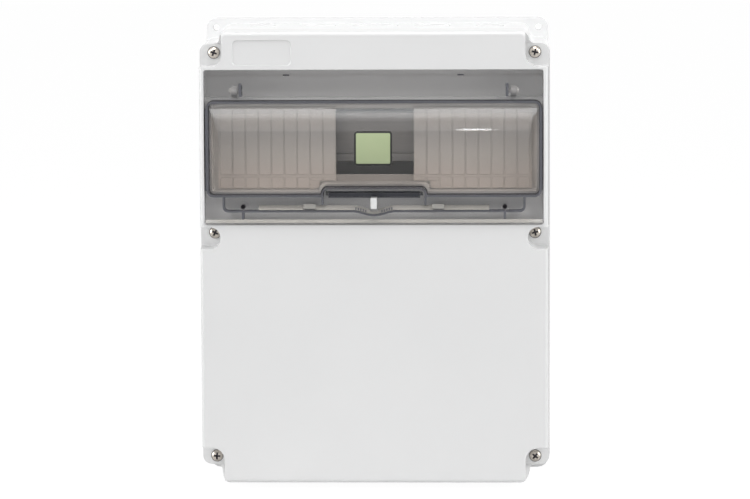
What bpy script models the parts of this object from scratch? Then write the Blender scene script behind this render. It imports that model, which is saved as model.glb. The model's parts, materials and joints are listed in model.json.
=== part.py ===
"""DC combiner box: a wall-mounted plastic enclosure with a screwed cover, a smoked flip-up window over the
device opening, a DIN rail behind it and three terminal bars below.

Metres. X is to the right, Z is up and the wall is the plane Y = 0, so the front faces -Y.
Depths are counted from the flat front of the cover, towards the wall."""

from math import acos, asin, cos, pi, radians, sin, tan

import bmesh
import bpy
from mathutils import Matrix, Vector

# Gap that touching pieces keep, and running clearance round a pin or a screw
FIT = 0.0003
BORE_CLEARANCE = 0.0003
# How far a cutter runs past the face that it opens
PAST = 0.001

# Case, base and cover together
BOX_WIDTH = 0.2430
CASE_HEIGHT = 0.3140
BOX_DEPTH = 0.1000
COVER_DEPTH = 0.0320
# S-shaped step at each corner of the case, which leaves room for a mounting ear
NOTCH_WIDTH = 0.0138
NOTCH_HEIGHT = 0.0097
NOTCH_ROUND = 0.0038
EAR_ROUND = 0.0060
CORNER_ROUND = 0.0056

# Base
BASE_WALL = 0.0033
BACK_WALL = 0.0030
FLANGE_OVERHANG = 0.0039
FLANGE_SIDE_INSET = 0.0005
FLANGE_THICKNESS = 0.0060
FLANGE_ROUND = 0.0075
MOUNT_HOLE = 0.0047
KNOCKOUT_DIAMETERS = (0.0205, 0.0255, 0.0325, 0.0255, 0.0205)
KNOCKOUT_PITCH = 0.0400
KNOCKOUT_SINK = 0.0006
KNOCKOUT_FROM_WALL = 0.0340

# Cover
COVER_WALL = 0.0052
COVER_FRONT = 0.0028
COVER_DRAFT = 0.0002
# The two sides slope in by this much more towards the front
SIDE_DRAFT = 0.0012
COVER_EDGE = 0.0027
POCKET_WIDTH = 0.0170
POCKET_HEIGHT = 0.0248
POCKET_ROUND = 0.0085
POCKET_DEPTH = 0.0234
# Beside the step of the outline a pocket's floor rises to this depth at the end of the case
POCKET_RAMP_END = 0.0035
MID_POCKET_WIDTH = 0.0154
MID_POCKET_HEIGHT = 0.0153
MID_POCKET_ROUND = 0.0070
# Wall between the window recess and the mid pockets
MID_WEB = 0.0018
NAMEPLATE_WIDTH = 0.0398
NAMEPLATE_HEIGHT = 0.0170
NAMEPLATE_ROUND = 0.0030
NAMEPLATE_SINK = 0.0008
NAMEPLATE_FROM_SIDE = 0.0247
NAMEPLATE_FROM_TOP = 0.0063

# Seal between base and cover: a tongue on the base, a channel in the cover and a gasket in it
TONGUE_INSET = 0.0015
TONGUE_THICKNESS = 0.0018
TONGUE_HEIGHT = 0.0023
COVER_GASKET = 0.0015
SEAL_ROUND = 0.0040
# How far the sealed space stays inside a screw pocket
POCKET_MARGIN = 0.0003

# Cover screws, pan heads with a cross recess
SCREW_FROM_SIDE = 0.0103
SCREW_FROM_END = 0.0158
MID_SCREW_BELOW_RECESS = 0.0077
SCREW_DIAMETER = 0.0040
SCREW_LENGTH = 0.0220
SCREW_HEAD = 0.0080
SCREW_HEAD_HEIGHT = 0.0026
CROSS_WIDTH = 0.0012
CROSS_LENGTH = 0.0046
CROSS_DEPTH = 0.0016

# Window recess in the cover
RECESS_SIDE_WALL = 0.0046
RECESS_FROM_TOP = 0.0264
RECESS_HEIGHT = 0.10695
RECESS_ROUND = 0.0018
TRAY_WALL = 0.0024
TRAY_FLOOR = 0.0020
SEAL_DEPTH = 0.0120
GUTTER_DEPTH = 0.0252
WELL_DEPTH = 0.0295

# Device opening in the floor of the recess
STRIP_PITCH = 0.0090
OPEN_STRIPS = 6
SLOT_TOP_GAP = 0.0041
SLOT_BOTTOM_GAP = 0.0047
SLOT_MARGIN = 0.0044

# Window hinge
HINGE_FROM_RECESS_TOP = 0.0151
HINGE_DEPTH = 0.0100
HINGE_FROM_SIDE = 0.0250
HINGE_RIB = 0.0020
HINGE_RIB_ROUND = 0.0036
HINGE_RIB_RISE = 0.0022
HINGE_PIN = 0.0030
HINGE_LUG = 0.0040
HINGE_LUG_GAP = 0.0014
HINGE_LUG_FOOT = 0.0023

# Window
WINDOW_GAP = 0.0007
WINDOW_TOP_GAP = 0.0006
WINDOW_WALL = 0.0022
ROLL_END = 0.0020
LIP_HEIGHT = 0.0030
LIP_REACH = 0.0022
SKIRT_SIDE_GAP = 0.0013
SKIRT_BELOW_HINGE = 0.0066
SKIRT_ABOVE_RECESS = 0.01875
SKIRT_WALL = 0.0016
SKIRT_ROUND = 0.0048
JOG_HALF = 0.0351
JOG_RISE = 0.0053
JOG_FOOT = 0.0004
JOG_ROUND = 0.0044
WINDOW_GASKET = 0.0018
GASKET_OVERHANG = 0.0002
SEAL_LEDGE = 0.0032
GUTTER_ABOVE_SKIRT = 0.0016
DOME_HEIGHT = 0.0110
DOME_BELOW_SKIRT = 0.0050
DOME_ABOVE_SKIRT = 0.0032
DOME_END_INSET = 0.0023
DOME_END_SLOPE = radians(57)

# Latch end of the window
RIB_DEPTH = 0.0070
CHAMBER_FROM_SIDE = 0.0123
CHAMBER_ABOVE_RECESS = 0.00825
CHAMBER_ROUND = 0.0040
PULL_FROM_SIDE = 0.0374
PULL_DEPTH = 0.0030
PULL_ABOVE_RECESS = 0.01325
PULL_DIP = 0.0028
PULL_DIP_HALF = 0.0148
PULL_PAD = 0.0022
SCOOP_DEPTH = 0.0075
SCOOP_WALL = 0.0016
SCOOP_GAP = 0.0038
SEAL_HOLE = 0.0032
SEAL_HOLE_FROM_SIDE = 0.0266
SEAL_HOLE_RING = 0.0054
SEAL_HOLE_BOSS = 0.0072
CLIP_FROM_CENTRE = 0.0443
CLIP_WIDTH = 0.0083
CLIP_ARM = 0.0018
EYE_WIDTH = 0.0042
EYE_HEIGHT = 0.0074
EYE_REACH = 0.0045
EYE_HOLE = 0.0036
EYE_ABOVE_RECESS = 0.0114
EYE_CLEARANCE = 0.0008
EYE_SWING = 0.0022
CATCH_GROOVE = 0.0030
CATCH_GROOVE_DEPTH = 0.0140

# Blanking plates of the device opening
FILLER_THICKNESS = 0.0013
FILLER_PLUG = 0.0036
FILLER_OVERLAP = 0.0010
PAD_RISE = 0.0004
PAD_GAP = 0.0007
PAD_ROUND = 0.0014
APRON_GAP = 0.0016

# DIN rail, 35 mm hat profile
RAIL_HEIGHT = 0.0350
RAIL_DEPTH = 0.0075
RAIL_WEB = 0.0270
RAIL_METAL = 0.0010
RAIL_FROM_WALL = 0.0277
RAIL_END_GAP = 0.0080
RAIL_POST = 0.0120
RAIL_POST_FROM_END = 0.0120
RAIL_SLOT_LENGTH = 0.0150
RAIL_SLOT_WIDTH = 0.0052
RAIL_SLOT_PITCH = 0.0500
SMALL_SCREW = 0.0035
SMALL_SCREW_HEAD = 0.0070
SMALL_SCREW_HEAD_HEIGHT = 0.0022
SMALL_SCREW_LENGTH = 0.0100

# Terminal bars below the window
BAR_LENGTH = 0.1200
BAR_HEIGHT = 0.0120
BAR_THICKNESS = 0.0080
BAR_PITCH = 0.0420
BAR_ROW_BELOW_CENTRE = 0.0700
BAR_SUPPORT_WIDTH = 0.0120
BAR_SUPPORT_HEIGHT = 0.0220
BAR_SUPPORT_OVERHANG = 0.0100
BAR_SCREW_FROM_END = 0.0070
TERMINALS = 5
TERMINAL_PITCH = 0.0180
TERMINAL_SCREW = 0.0040
TERMINAL_SCREW_HEAD = 0.0064
TERMINAL_SCREW_HEAD_HEIGHT = 0.0024
TERMINAL_SCREW_REACH = 0.0045
WIRE_HOLE = 0.0050
SLOT_CUT = 0.0010

# Facets: steps of a rounded corner and of a pad corner, and sides of large and small round pieces
ARC_STEPS = 4
PAD_STEPS = 2
ROUND_SIDES = 20
SMALL_SIDES = 12


# Worked out from the sizes above
HALF_WIDTH = BOX_WIDTH / 2
HALF_HEIGHT = CASE_HEIGHT / 2
FLANGE_HALF_WIDTH = HALF_WIDTH - FLANGE_SIDE_INSET
FLANGE_HALF_HEIGHT = HALF_HEIGHT + FLANGE_OVERHANG
SCREW_X = HALF_WIDTH - SCREW_FROM_SIDE
SCREW_Z = HALF_HEIGHT - SCREW_FROM_END
RECESS_HALF = HALF_WIDTH - RECESS_SIDE_WALL
RECESS_TOP = HALF_HEIGHT - RECESS_FROM_TOP
RECESS_BOTTOM = RECESS_TOP - RECESS_HEIGHT
MID_SCREW_Z = RECESS_BOTTOM - MID_SCREW_BELOW_RECESS
MID_POCKET_TOP = RECESS_BOTTOM - MID_WEB
SCREW_PLACES = [
    ("top_left", -SCREW_X, SCREW_Z),
    ("top_right", SCREW_X, SCREW_Z),
    ("middle_left", -SCREW_X, MID_SCREW_Z),
    ("middle_right", SCREW_X, MID_SCREW_Z),
    ("bottom_left", -SCREW_X, -SCREW_Z),
    ("bottom_right", SCREW_X, -SCREW_Z),
]
HINGE_Z = RECESS_TOP - HINGE_FROM_RECESS_TOP
HINGE_FROM_CENTRE = RECESS_HALF - HINGE_FROM_SIDE
CHAMBER_HALF = RECESS_HALF - CHAMBER_FROM_SIDE
PULL_HALF = RECESS_HALF - PULL_FROM_SIDE
SEAL_HOLE_FROM_CENTRE = RECESS_HALF - SEAL_HOLE_FROM_SIDE
ROLL_RADIUS = HINGE_FROM_RECESS_TOP - WINDOW_TOP_GAP
SKIRT_HALF = RECESS_HALF - SKIRT_SIDE_GAP
SKIRT_TOP = HINGE_Z - SKIRT_BELOW_HINGE
SKIRT_BOTTOM = RECESS_BOTTOM + SKIRT_ABOVE_RECESS
SKIRT_END = SEAL_DEPTH - WINDOW_GASKET - 2 * FIT
GUTTER_BOTTOM = SKIRT_TOP + GUTTER_ABOVE_SKIRT
WELL_HALF = SKIRT_HALF - SEAL_LEDGE
WELL_TOP = SKIRT_TOP - SEAL_LEDGE
WELL_BOTTOM = SKIRT_BOTTOM + SEAL_LEDGE
SLOT_TOP = WELL_TOP - SLOT_TOP_GAP
SLOT_BOTTOM = WELL_BOTTOM + JOG_RISE + SLOT_BOTTOM_GAP
SLOT_Z = (SLOT_TOP + SLOT_BOTTOM) / 2
STRIPS_A_SIDE = int((WELL_HALF - SLOT_MARGIN) / STRIP_PITCH + 0.001) - OPEN_STRIPS // 2
OPEN_HALF = OPEN_STRIPS * STRIP_PITCH / 2
SLOT_HALF = OPEN_HALF + STRIPS_A_SIDE * STRIP_PITCH
DOME_TOP = SKIRT_TOP - DOME_BELOW_SKIRT
DOME_BOTTOM = SKIRT_BOTTOM + DOME_ABOVE_SKIRT
DOME_HALF = SKIRT_HALF - DOME_END_INSET
PULL_Z = RECESS_BOTTOM + PULL_ABOVE_RECESS
EYE_Z = RECESS_BOTTOM + EYE_ABOVE_RECESS
RAIL_HALF = HALF_WIDTH - BASE_WALL - RAIL_END_GAP
RAIL_POST_X = RAIL_HALF - RAIL_POST_FROM_END


def depth(distance):
    """Y of a plane that lies this far behind the flat front of the cover."""
    return distance - BOX_DEPTH


def rounded(corners, steps=ARC_STEPS):
    """Outline through (x, z, radius) corners, each replaced by an arc."""
    outline = []
    for index, (x, z, radius) in enumerate(corners):
        here = Vector((x, z))
        if radius <= 0:
            outline.append(here)
            continue
        before = (Vector(corners[index - 1][:2]) - here).normalized()
        after = (Vector(corners[(index + 1) % len(corners)][:2]) - here).normalized()
        half = acos(max(-1.0, min(1.0, before.dot(after)))) / 2
        centre = here + (before + after).normalized() * radius / sin(half)
        start = here + before * radius / tan(half) - centre
        turn = start.angle_signed(here + after * radius / tan(half) - centre)
        for step in range(steps + 1):
            outline.append(centre + Matrix.Rotation(-turn * step / steps, 2) @ start)
    return outline


def rectangle(x0, x1, z0, z1, radius=0.0, steps=ARC_STEPS):
    return rounded([(x0, z0, radius), (x1, z0, radius), (x1, z1, radius), (x0, z1, radius)], steps)


def circle(x, z, diameter, sides):
    turn = 2 * pi / sides
    radius = diameter / 2
    return [Vector((x + cos(turn * i) * radius, z + sin(turn * i) * radius)) for i in range(sides)]


def add_loft(bm, sections):
    """Solid through outlines of equal length, given as (outline, y) from front to back."""
    rings = [[bm.verts.new((p[0], y, p[1])) for p in outline] for outline, y in sections]
    for front, back in zip(rings, rings[1:]):
        for i in range(len(front)):
            j = (i + 1) % len(front)
            bm.faces.new((front[i], front[j], back[j], back[i]))
    bm.faces.new(rings[0])
    bm.faces.new(rings[-1])


def add_prism(bm, outline, y0, y1):
    add_loft(bm, [(outline, y0), (outline, y1)])


def add_box(bm, x0, x1, y0, y1, z0, z1):
    add_prism(bm, rectangle(x0, x1, z0, z1), y0, y1)


def add_ring(bm, outer, inner, y0, y1):
    """Closed frame between two outlines of equal length."""
    loops = []
    for outline in (outer, inner):
        for y in (y0, y1):
            loops.append([bm.verts.new((p[0], y, p[1])) for p in outline])
    outer_front, outer_back, inner_front, inner_back = loops
    for i in range(len(outer)):
        j = (i + 1) % len(outer)
        bm.faces.new((outer_front[i], outer_front[j], outer_back[j], outer_back[i]))
        bm.faces.new((inner_front[j], inner_front[i], inner_back[i], inner_back[j]))
        bm.faces.new((outer_front[j], outer_front[i], inner_front[i], inner_front[j]))
        bm.faces.new((outer_back[i], outer_back[j], inner_back[j], inner_back[i]))


def add_beam(bm, profile, x0, x1):
    """Profile of (y, z) points drawn out along X."""
    ends = [[bm.verts.new((x, y, z)) for y, z in profile] for x in (x0, x1)]
    for i in range(len(profile)):
        j = (i + 1) % len(profile)
        bm.faces.new((ends[0][i], ends[0][j], ends[1][j], ends[1][i]))
    bm.faces.new(ends[0])
    bm.faces.new(ends[1])


def solid(name, bm, material=None):
    bmesh.ops.recalc_face_normals(bm, faces=bm.faces)
    mesh = bpy.data.meshes.new(name)
    bm.to_mesh(mesh)
    bm.free()
    mesh.shade_smooth()
    mesh.set_sharp_from_angle(angle=radians(30))
    obj = bpy.data.objects.new(name, mesh)
    bpy.context.scene.collection.objects.link(obj)
    if material:
        mesh.materials.append(material)
    return obj


def combine(obj, tool, operation):
    modifier = obj.modifiers.new(tool.name, "BOOLEAN")
    modifier.operation = operation
    modifier.solver = "EXACT"
    modifier.object = tool
    tool.hide_render = True
    tool.display_type = "WIRE"
    tool.parent = obj.parent


def cut(obj, name, bm):
    combine(obj, solid(f"{obj.name}.{name}", bm), "DIFFERENCE")


def join(obj, name, bm):
    combine(obj, solid(f"{obj.name}.{name}", bm), "UNION")


def finish(name, colour, roughness, metallic=0.0, alpha=1.0):
    material = bpy.data.materials.new(name)
    material.use_nodes = True
    shader = material.node_tree.nodes["Principled BSDF"]
    shader.inputs["Base Color"].default_value = (*colour, 1.0)
    shader.inputs["Roughness"].default_value = roughness
    shader.inputs["Metallic"].default_value = metallic
    shader.inputs["Alpha"].default_value = alpha
    return material


def case_outline(inset=0.0, narrow=0.0):
    """Outside of the case, drawn in by inset, and by narrow at its sides: an S-shaped step at each corner."""
    half_width = HALF_WIDTH - inset - narrow
    half_height = HALF_HEIGHT - inset
    step_x = half_width - NOTCH_WIDTH
    step_z = half_height - NOTCH_HEIGHT
    quarter = [
        (half_width, step_z, EAR_ROUND - inset),
        (step_x, step_z, NOTCH_ROUND + inset),
        (step_x, half_height, CORNER_ROUND - inset),
    ]
    flipped = quarter[::-1]
    return rounded(
        quarter
        + [(-x, z, r) for x, z, r in flipped]
        + [(-x, -z, r) for x, z, r in quarter]
        + [(x, -z, r) for x, z, r in flipped]
    )


def sealed_outline(inset):
    """Outline that the seal follows: inside the case walls, and on the inner side of every screw."""
    half_width = HALF_WIDTH - inset
    half_height = HALF_HEIGHT - inset
    corner_x = HALF_WIDTH - POCKET_WIDTH - POCKET_MARGIN - inset
    corner_z = HALF_HEIGHT - POCKET_HEIGHT - POCKET_MARGIN - inset
    middle_x = HALF_WIDTH - MID_POCKET_WIDTH - POCKET_MARGIN - inset
    middle_top = MID_POCKET_TOP + POCKET_MARGIN + inset
    middle_bottom = MID_POCKET_TOP - MID_POCKET_HEIGHT - POCKET_MARGIN - inset
    convex = max(SEAL_ROUND - inset, FIT)
    concave = SEAL_ROUND + inset
    right = [
        (corner_x, -half_height, convex),
        (corner_x, -corner_z, concave),
        (half_width, -corner_z, convex),
        (half_width, middle_bottom, convex),
        (middle_x, middle_bottom, concave),
        (middle_x, middle_top, concave),
        (half_width, middle_top, convex),
        (half_width, corner_z, convex),
        (corner_x, corner_z, concave),
        (corner_x, half_height, convex),
    ]
    return rounded(right + [(-x, z, r) for x, z, r in right[::-1]])


def skirt_outline(inset):
    """Outline of the window's skirt, drawn in by inset, with the jog that clears the finger scoop."""
    half = SKIRT_HALF - inset
    top = SKIRT_TOP - inset
    bottom = SKIRT_BOTTOM + inset
    jog = JOG_HALF + inset
    shoulder = bottom + JOG_RISE
    outer = max(SKIRT_ROUND - inset, FIT)
    return rounded([
        (half, top, outer),
        (-half, top, outer),
        (-half, bottom, outer),
        (-jog, bottom, JOG_FOOT),
        (-jog, shoulder, JOG_ROUND),
        (jog, shoulder, JOG_ROUND),
        (jog, bottom, JOG_FOOT),
        (half, bottom, outer),
    ])


def add_screw(bm, x, z, seat, diameter, length, head, head_height):
    """Pan-head screw along Y whose head rests on the plane at depth seat."""
    y_seat = depth(seat)
    rim = 0.62
    add_loft(bm, [
        (circle(x, z, head * rim, SMALL_SIDES), y_seat - head_height),
        (circle(x, z, head * 0.9, SMALL_SIDES), y_seat - head_height * rim),
        (circle(x, z, head, SMALL_SIDES), y_seat - head_height * 0.2),
        (circle(x, z, head, SMALL_SIDES), y_seat),
        (circle(x, z, diameter, SMALL_SIDES), y_seat),
        (circle(x, z, diameter, SMALL_SIDES), y_seat + length),
    ])


def make_base(material):
    bm = bmesh.new()
    add_prism(bm, case_outline(), depth(COVER_DEPTH + FIT), depth(BOX_DEPTH - FLANGE_THICKNESS / 2))
    base = solid("base_box", bm, material)
    bm = bmesh.new()
    flange = rectangle(
        -FLANGE_HALF_WIDTH, FLANGE_HALF_WIDTH, -FLANGE_HALF_HEIGHT, FLANGE_HALF_HEIGHT, FLANGE_ROUND
    )
    add_prism(bm, flange, depth(BOX_DEPTH - FLANGE_THICKNESS), 0.0)
    join(base, "flange", bm)
    bm = bmesh.new()
    rim = depth(COVER_DEPTH + FIT)
    tongue_inner = TONGUE_INSET + TONGUE_THICKNESS
    add_ring(
        bm, sealed_outline(TONGUE_INSET), sealed_outline(tongue_inner), rim - TONGUE_HEIGHT, rim + BASE_WALL
    )
    join(base, "tongue", bm)
    bm = bmesh.new()
    add_prism(bm, sealed_outline(BASE_WALL), rim - TONGUE_HEIGHT - PAST, depth(BOX_DEPTH - BACK_WALL))
    cut(base, "inside", bm)
    bm = bmesh.new()
    post_front = -RAIL_FROM_WALL + RAIL_DEPTH + FIT
    for x in (-RAIL_POST_X, RAIL_POST_X):
        add_prism(bm, circle(x, SLOT_Z, RAIL_POST, ROUND_SIDES), post_front, -BACK_WALL / 2)
    join(base, "rail_posts", bm)
    bm = bmesh.new()
    for _, x, z in SCREW_PLACES:
        hole = circle(x, z, SCREW_DIAMETER + 2 * BORE_CLEARANCE, SMALL_SIDES)
        add_prism(bm, hole, rim - PAST, depth(POCKET_DEPTH + SCREW_LENGTH + PAST))
    for x in (-RAIL_POST_X, RAIL_POST_X):
        hole = circle(x, SLOT_Z, SMALL_SCREW + 2 * BORE_CLEARANCE, SMALL_SIDES)
        add_prism(bm, hole, post_front - PAST, post_front + SMALL_SCREW_LENGTH)
    for x in (-1, 1):
        for z in (-1, 1):
            ear_x = x * (FLANGE_HALF_WIDTH - NOTCH_WIDTH / 2)
            ear_z = z * (FLANGE_HALF_HEIGHT - (NOTCH_HEIGHT + FLANGE_OVERHANG) / 2)
            hole = circle(ear_x, ear_z, MOUNT_HOLE, SMALL_SIDES)
            add_prism(bm, hole, depth(BOX_DEPTH - FLANGE_THICKNESS) - PAST, PAST)
    cut(base, "holes", bm)
    bm = bmesh.new()
    first = -(len(KNOCKOUT_DIAMETERS) - 1) / 2
    for side in (-1, 1):
        face = side * HALF_HEIGHT
        for i, diameter in enumerate(KNOCKOUT_DIAMETERS):
            x = (first + i) * KNOCKOUT_PITCH
            turn = Matrix.Translation((x, -KNOCKOUT_FROM_WALL, face)) @ Matrix.Rotation(pi / 2, 4, "X")
            disc = bmesh.new()
            add_prism(disc, circle(0, 0, diameter, ROUND_SIDES), -KNOCKOUT_SINK, KNOCKOUT_SINK)
            bmesh.ops.transform(disc, matrix=turn, verts=disc.verts)
            piece = bpy.data.meshes.new("disc")
            disc.to_mesh(piece)
            disc.free()
            bm.from_mesh(piece)
            bpy.data.meshes.remove(piece)
    cut(base, "knockouts", bm)
    return base


def make_cover(material):
    bm = bmesh.new()
    sections = []
    for step in range(ARC_STEPS + 1):
        angle = pi / 2 * step / ARC_STEPS
        inset = COVER_DRAFT + COVER_EDGE * (1 - sin(angle))
        sections.append((case_outline(inset, SIDE_DRAFT), depth(COVER_EDGE * (1 - cos(angle)))))
    add_loft(bm, sections + [(case_outline(), depth(COVER_DEPTH))])
    cover = solid("front_cover", bm, material)

    bm = bmesh.new()
    add_prism(bm, sealed_outline(COVER_WALL), depth(COVER_FRONT), depth(COVER_DEPTH + PAST))
    inside = solid("front_cover.inside", bm)
    bm = bmesh.new()
    tray_back = WELL_DEPTH + TRAY_FLOOR
    add_box(
        bm,
        -BOX_WIDTH, BOX_WIDTH,
        depth(0), depth(tray_back),
        RECESS_BOTTOM - TRAY_WALL, RECESS_TOP + TRAY_WALL,
    )
    cut(inside, "tray", bm)
    combine(cover, inside, "DIFFERENCE")

    bm = bmesh.new()
    recess = rectangle(-RECESS_HALF, RECESS_HALF, RECESS_BOTTOM, RECESS_TOP, RECESS_ROUND)
    add_prism(bm, recess, depth(-PAST), depth(SEAL_DEPTH))
    cut(cover, "recess", bm)
    bm = bmesh.new()
    gutter = rounded([
        (-RECESS_HALF, GUTTER_BOTTOM, 0),
        (RECESS_HALF, GUTTER_BOTTOM, 0),
        (RECESS_HALF, RECESS_TOP, RECESS_ROUND),
        (-RECESS_HALF, RECESS_TOP, RECESS_ROUND),
    ])
    add_prism(bm, gutter, depth(SEAL_DEPTH - PAST), depth(GUTTER_DEPTH))
    cut(cover, "gutter", bm)
    bm = bmesh.new()
    add_prism(bm, skirt_outline(SEAL_LEDGE), depth(SEAL_DEPTH - PAST), depth(WELL_DEPTH))
    cut(cover, "well", bm)
    bm = bmesh.new()
    add_box(
        bm,
        -SLOT_HALF, SLOT_HALF,
        depth(WELL_DEPTH - PAST), depth(WELL_DEPTH + TRAY_FLOOR + PAST),
        SLOT_BOTTOM, SLOT_TOP,
    )
    cut(cover, "slot", bm)
    bm = bmesh.new()
    relief_top = SKIRT_BOTTOM - TRAY_WALL
    add_box(
        bm,
        -WELL_HALF, WELL_HALF,
        depth(SEAL_DEPTH + TRAY_WALL), depth(COVER_DEPTH + PAST),
        RECESS_BOTTOM + TRAY_WALL, relief_top,
    )
    cut(cover, "relief", bm)
    bm = bmesh.new()
    groove_half = JOG_HALF - SCOOP_WALL
    groove_bottom = EYE_Z + EYE_HEIGHT + FIT
    add_box(
        bm,
        -groove_half, groove_half,
        depth(SEAL_DEPTH - PAST), depth(SEAL_DEPTH + CATCH_GROOVE_DEPTH),
        groove_bottom, groove_bottom + CATCH_GROOVE,
    )
    cut(cover, "catch_groove", bm)

    bm = bmesh.new()
    ramps = bmesh.new()
    beyond = BOX_WIDTH
    inner = HALF_WIDTH - POCKET_WIDTH
    step_z = HALF_HEIGHT - NOTCH_HEIGHT
    for x in (-1, 1):
        for z in (-1, 1):
            pocket = rounded([
                (x * inner, z * (HALF_HEIGHT - POCKET_HEIGHT), POCKET_ROUND),
                (x * beyond, z * (HALF_HEIGHT - POCKET_HEIGHT), 0),
                (x * beyond, z * step_z, 0),
                (x * inner, z * step_z, 0),
            ])
            add_prism(bm, pocket, depth(-PAST), depth(POCKET_DEPTH))
            ramp = [
                (depth(-PAST), z * (step_z - PAST)),
                (depth(POCKET_DEPTH), z * (step_z - PAST)),
                (depth(POCKET_DEPTH), z * step_z),
                (depth(POCKET_RAMP_END), z * HALF_HEIGHT),
                (depth(POCKET_RAMP_END), z * (HALF_HEIGHT + PAST)),
                (depth(-PAST), z * (HALF_HEIGHT + PAST)),
            ]
            add_beam(ramps, ramp, *sorted((x * inner, x * beyond)))
        middle = rounded([
            (x * (HALF_WIDTH - MID_POCKET_WIDTH), MID_POCKET_TOP, MID_POCKET_ROUND),
            (x * beyond, MID_POCKET_TOP, 0),
            (x * beyond, MID_POCKET_TOP - MID_POCKET_HEIGHT, 0),
            (x * (HALF_WIDTH - MID_POCKET_WIDTH), MID_POCKET_TOP - MID_POCKET_HEIGHT, MID_POCKET_ROUND),
        ])
        add_prism(bm, middle, depth(-PAST), depth(POCKET_DEPTH))
    cut(cover, "screw_pockets", bm)
    cut(cover, "pocket_ramps", ramps)

    bm = bmesh.new()
    channel_outer = TONGUE_INSET - FIT
    channel_inner = TONGUE_INSET + TONGUE_THICKNESS + FIT
    channel_depth = TONGUE_HEIGHT + COVER_GASKET + FIT
    add_ring(
        bm,
        sealed_outline(channel_outer), sealed_outline(channel_inner),
        depth(COVER_DEPTH - channel_depth), depth(COVER_DEPTH + PAST),
    )
    cut(cover, "gasket_channel", bm)

    bm = bmesh.new()
    for _, x, z in SCREW_PLACES:
        hole = circle(x, z, SCREW_DIAMETER + 2 * BORE_CLEARANCE, SMALL_SIDES)
        add_prism(bm, hole, depth(POCKET_DEPTH - PAST), depth(COVER_DEPTH + PAST))
    plate_left = -HALF_WIDTH + NAMEPLATE_FROM_SIDE
    plate_top = HALF_HEIGHT - NAMEPLATE_FROM_TOP
    nameplate = rectangle(
        plate_left, plate_left + NAMEPLATE_WIDTH, plate_top - NAMEPLATE_HEIGHT, plate_top, NAMEPLATE_ROUND
    )
    add_prism(bm, nameplate, depth(-PAST), depth(NAMEPLATE_SINK))
    cut(cover, "holes", bm)

    add_hinge_lugs(cover)
    add_eye_and_catches(cover)
    return cover


def add_hinge_lugs(cover):
    """Posts on the seal rim of the cover, one outside each hinge rib of the window."""
    bm = bmesh.new()
    inner = HINGE_FROM_CENTRE + HINGE_RIB / 2 + HINGE_LUG_GAP
    foot_front = HINGE_DEPTH + HINGE_LUG_FOOT
    foot_back = foot_front + HINGE_LUG
    steps = 3 * ARC_STEPS
    for side in (-1, 1):
        profile = [(depth(foot_back), GUTTER_BOTTOM - PAST), (depth(foot_front), GUTTER_BOTTOM - PAST)]
        profile.append((depth(foot_front), HINGE_Z - HINGE_RIB_ROUND))
        for step in range(steps + 1):
            angle = -pi / 2 - 1.25 * pi * step / steps
            profile.append((
                depth(HINGE_DEPTH + cos(angle) * HINGE_RIB_ROUND),
                HINGE_Z + sin(angle) * HINGE_RIB_ROUND,
            ))
        add_beam(bm, profile, side * inner, side * (inner + HINGE_LUG))
    join(cover, "hinge_lugs", bm)
    bm = bmesh.new()
    for side in (-1, 1):
        bore = circle_yz(depth(HINGE_DEPTH), HINGE_Z, HINGE_PIN + 2 * FIT)
        add_beam(bm, bore, side * (inner - PAST), side * (inner + HINGE_LUG + PAST))
    cut(cover, "hinge_bores", bm)


def circle_yz(y, z, diameter, sides=SMALL_SIDES):
    turn = 2 * pi / sides
    return [(y + cos(turn * i) * diameter / 2, z + sin(turn * i) * diameter / 2) for i in range(sides)]


def add_eye_and_catches(cover):
    """Padlock eye that comes through the window, and the two catches that its snap arms close over."""
    bm = bmesh.new()
    half = EYE_WIDTH / 2
    add_box(bm, -half, half, depth(-EYE_REACH), depth(SEAL_DEPTH + PAST), EYE_Z, EYE_Z + EYE_HEIGHT)
    for x in (-CLIP_FROM_CENTRE, CLIP_FROM_CENTRE):
        top = PULL_Z - CLIP_ARM - FIT
        add_box(
            bm,
            x - CLIP_WIDTH / 2, x + CLIP_WIDTH / 2,
            depth(SEAL_DEPTH - CLIP_ARM * 2), depth(SEAL_DEPTH + PAST),
            top - CLIP_ARM, top,
        )
    join(cover, "eye_and_catches", bm)
    bm = bmesh.new()
    hole = circle_yz(depth(-EYE_REACH / 3), EYE_Z + EYE_HEIGHT / 2, EYE_HOLE)
    add_beam(bm, hole, -EYE_WIDTH, EYE_WIDTH)
    cut(cover, "eye_hole", bm)


def make_cover_gasket(material):
    bm = bmesh.new()
    channel_floor = COVER_DEPTH - TONGUE_HEIGHT - COVER_GASKET - FIT
    add_ring(
        bm,
        sealed_outline(TONGUE_INSET), sealed_outline(TONGUE_INSET + TONGUE_THICKNESS),
        depth(channel_floor + FIT), depth(channel_floor + COVER_GASKET),
    )
    return solid("cover_gasket", bm, material)


def make_cover_screw(place, x, z, material):
    bm = bmesh.new()
    seat = POCKET_DEPTH - FIT
    add_screw(bm, x, z, seat, SCREW_DIAMETER, SCREW_LENGTH, SCREW_HEAD, SCREW_HEAD_HEIGHT)
    screw = solid(f"cover_screw_{place}", bm, material)
    bm = bmesh.new()
    face = depth(seat - SCREW_HEAD_HEIGHT)
    arm = CROSS_LENGTH / 2
    slim = CROSS_WIDTH / 2
    cross = [
        (slim, slim), (slim, arm), (-slim, arm), (-slim, slim), (-arm, slim), (-arm, -slim),
        (-slim, -slim), (-slim, -arm), (slim, -arm), (slim, -slim), (arm, -slim), (arm, slim),
    ]
    add_prism(bm, [(x + a, z + b) for a, b in cross], face - PAST, face + CROSS_DEPTH)
    cut(screw, "cross", bm)
    return screw


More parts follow.
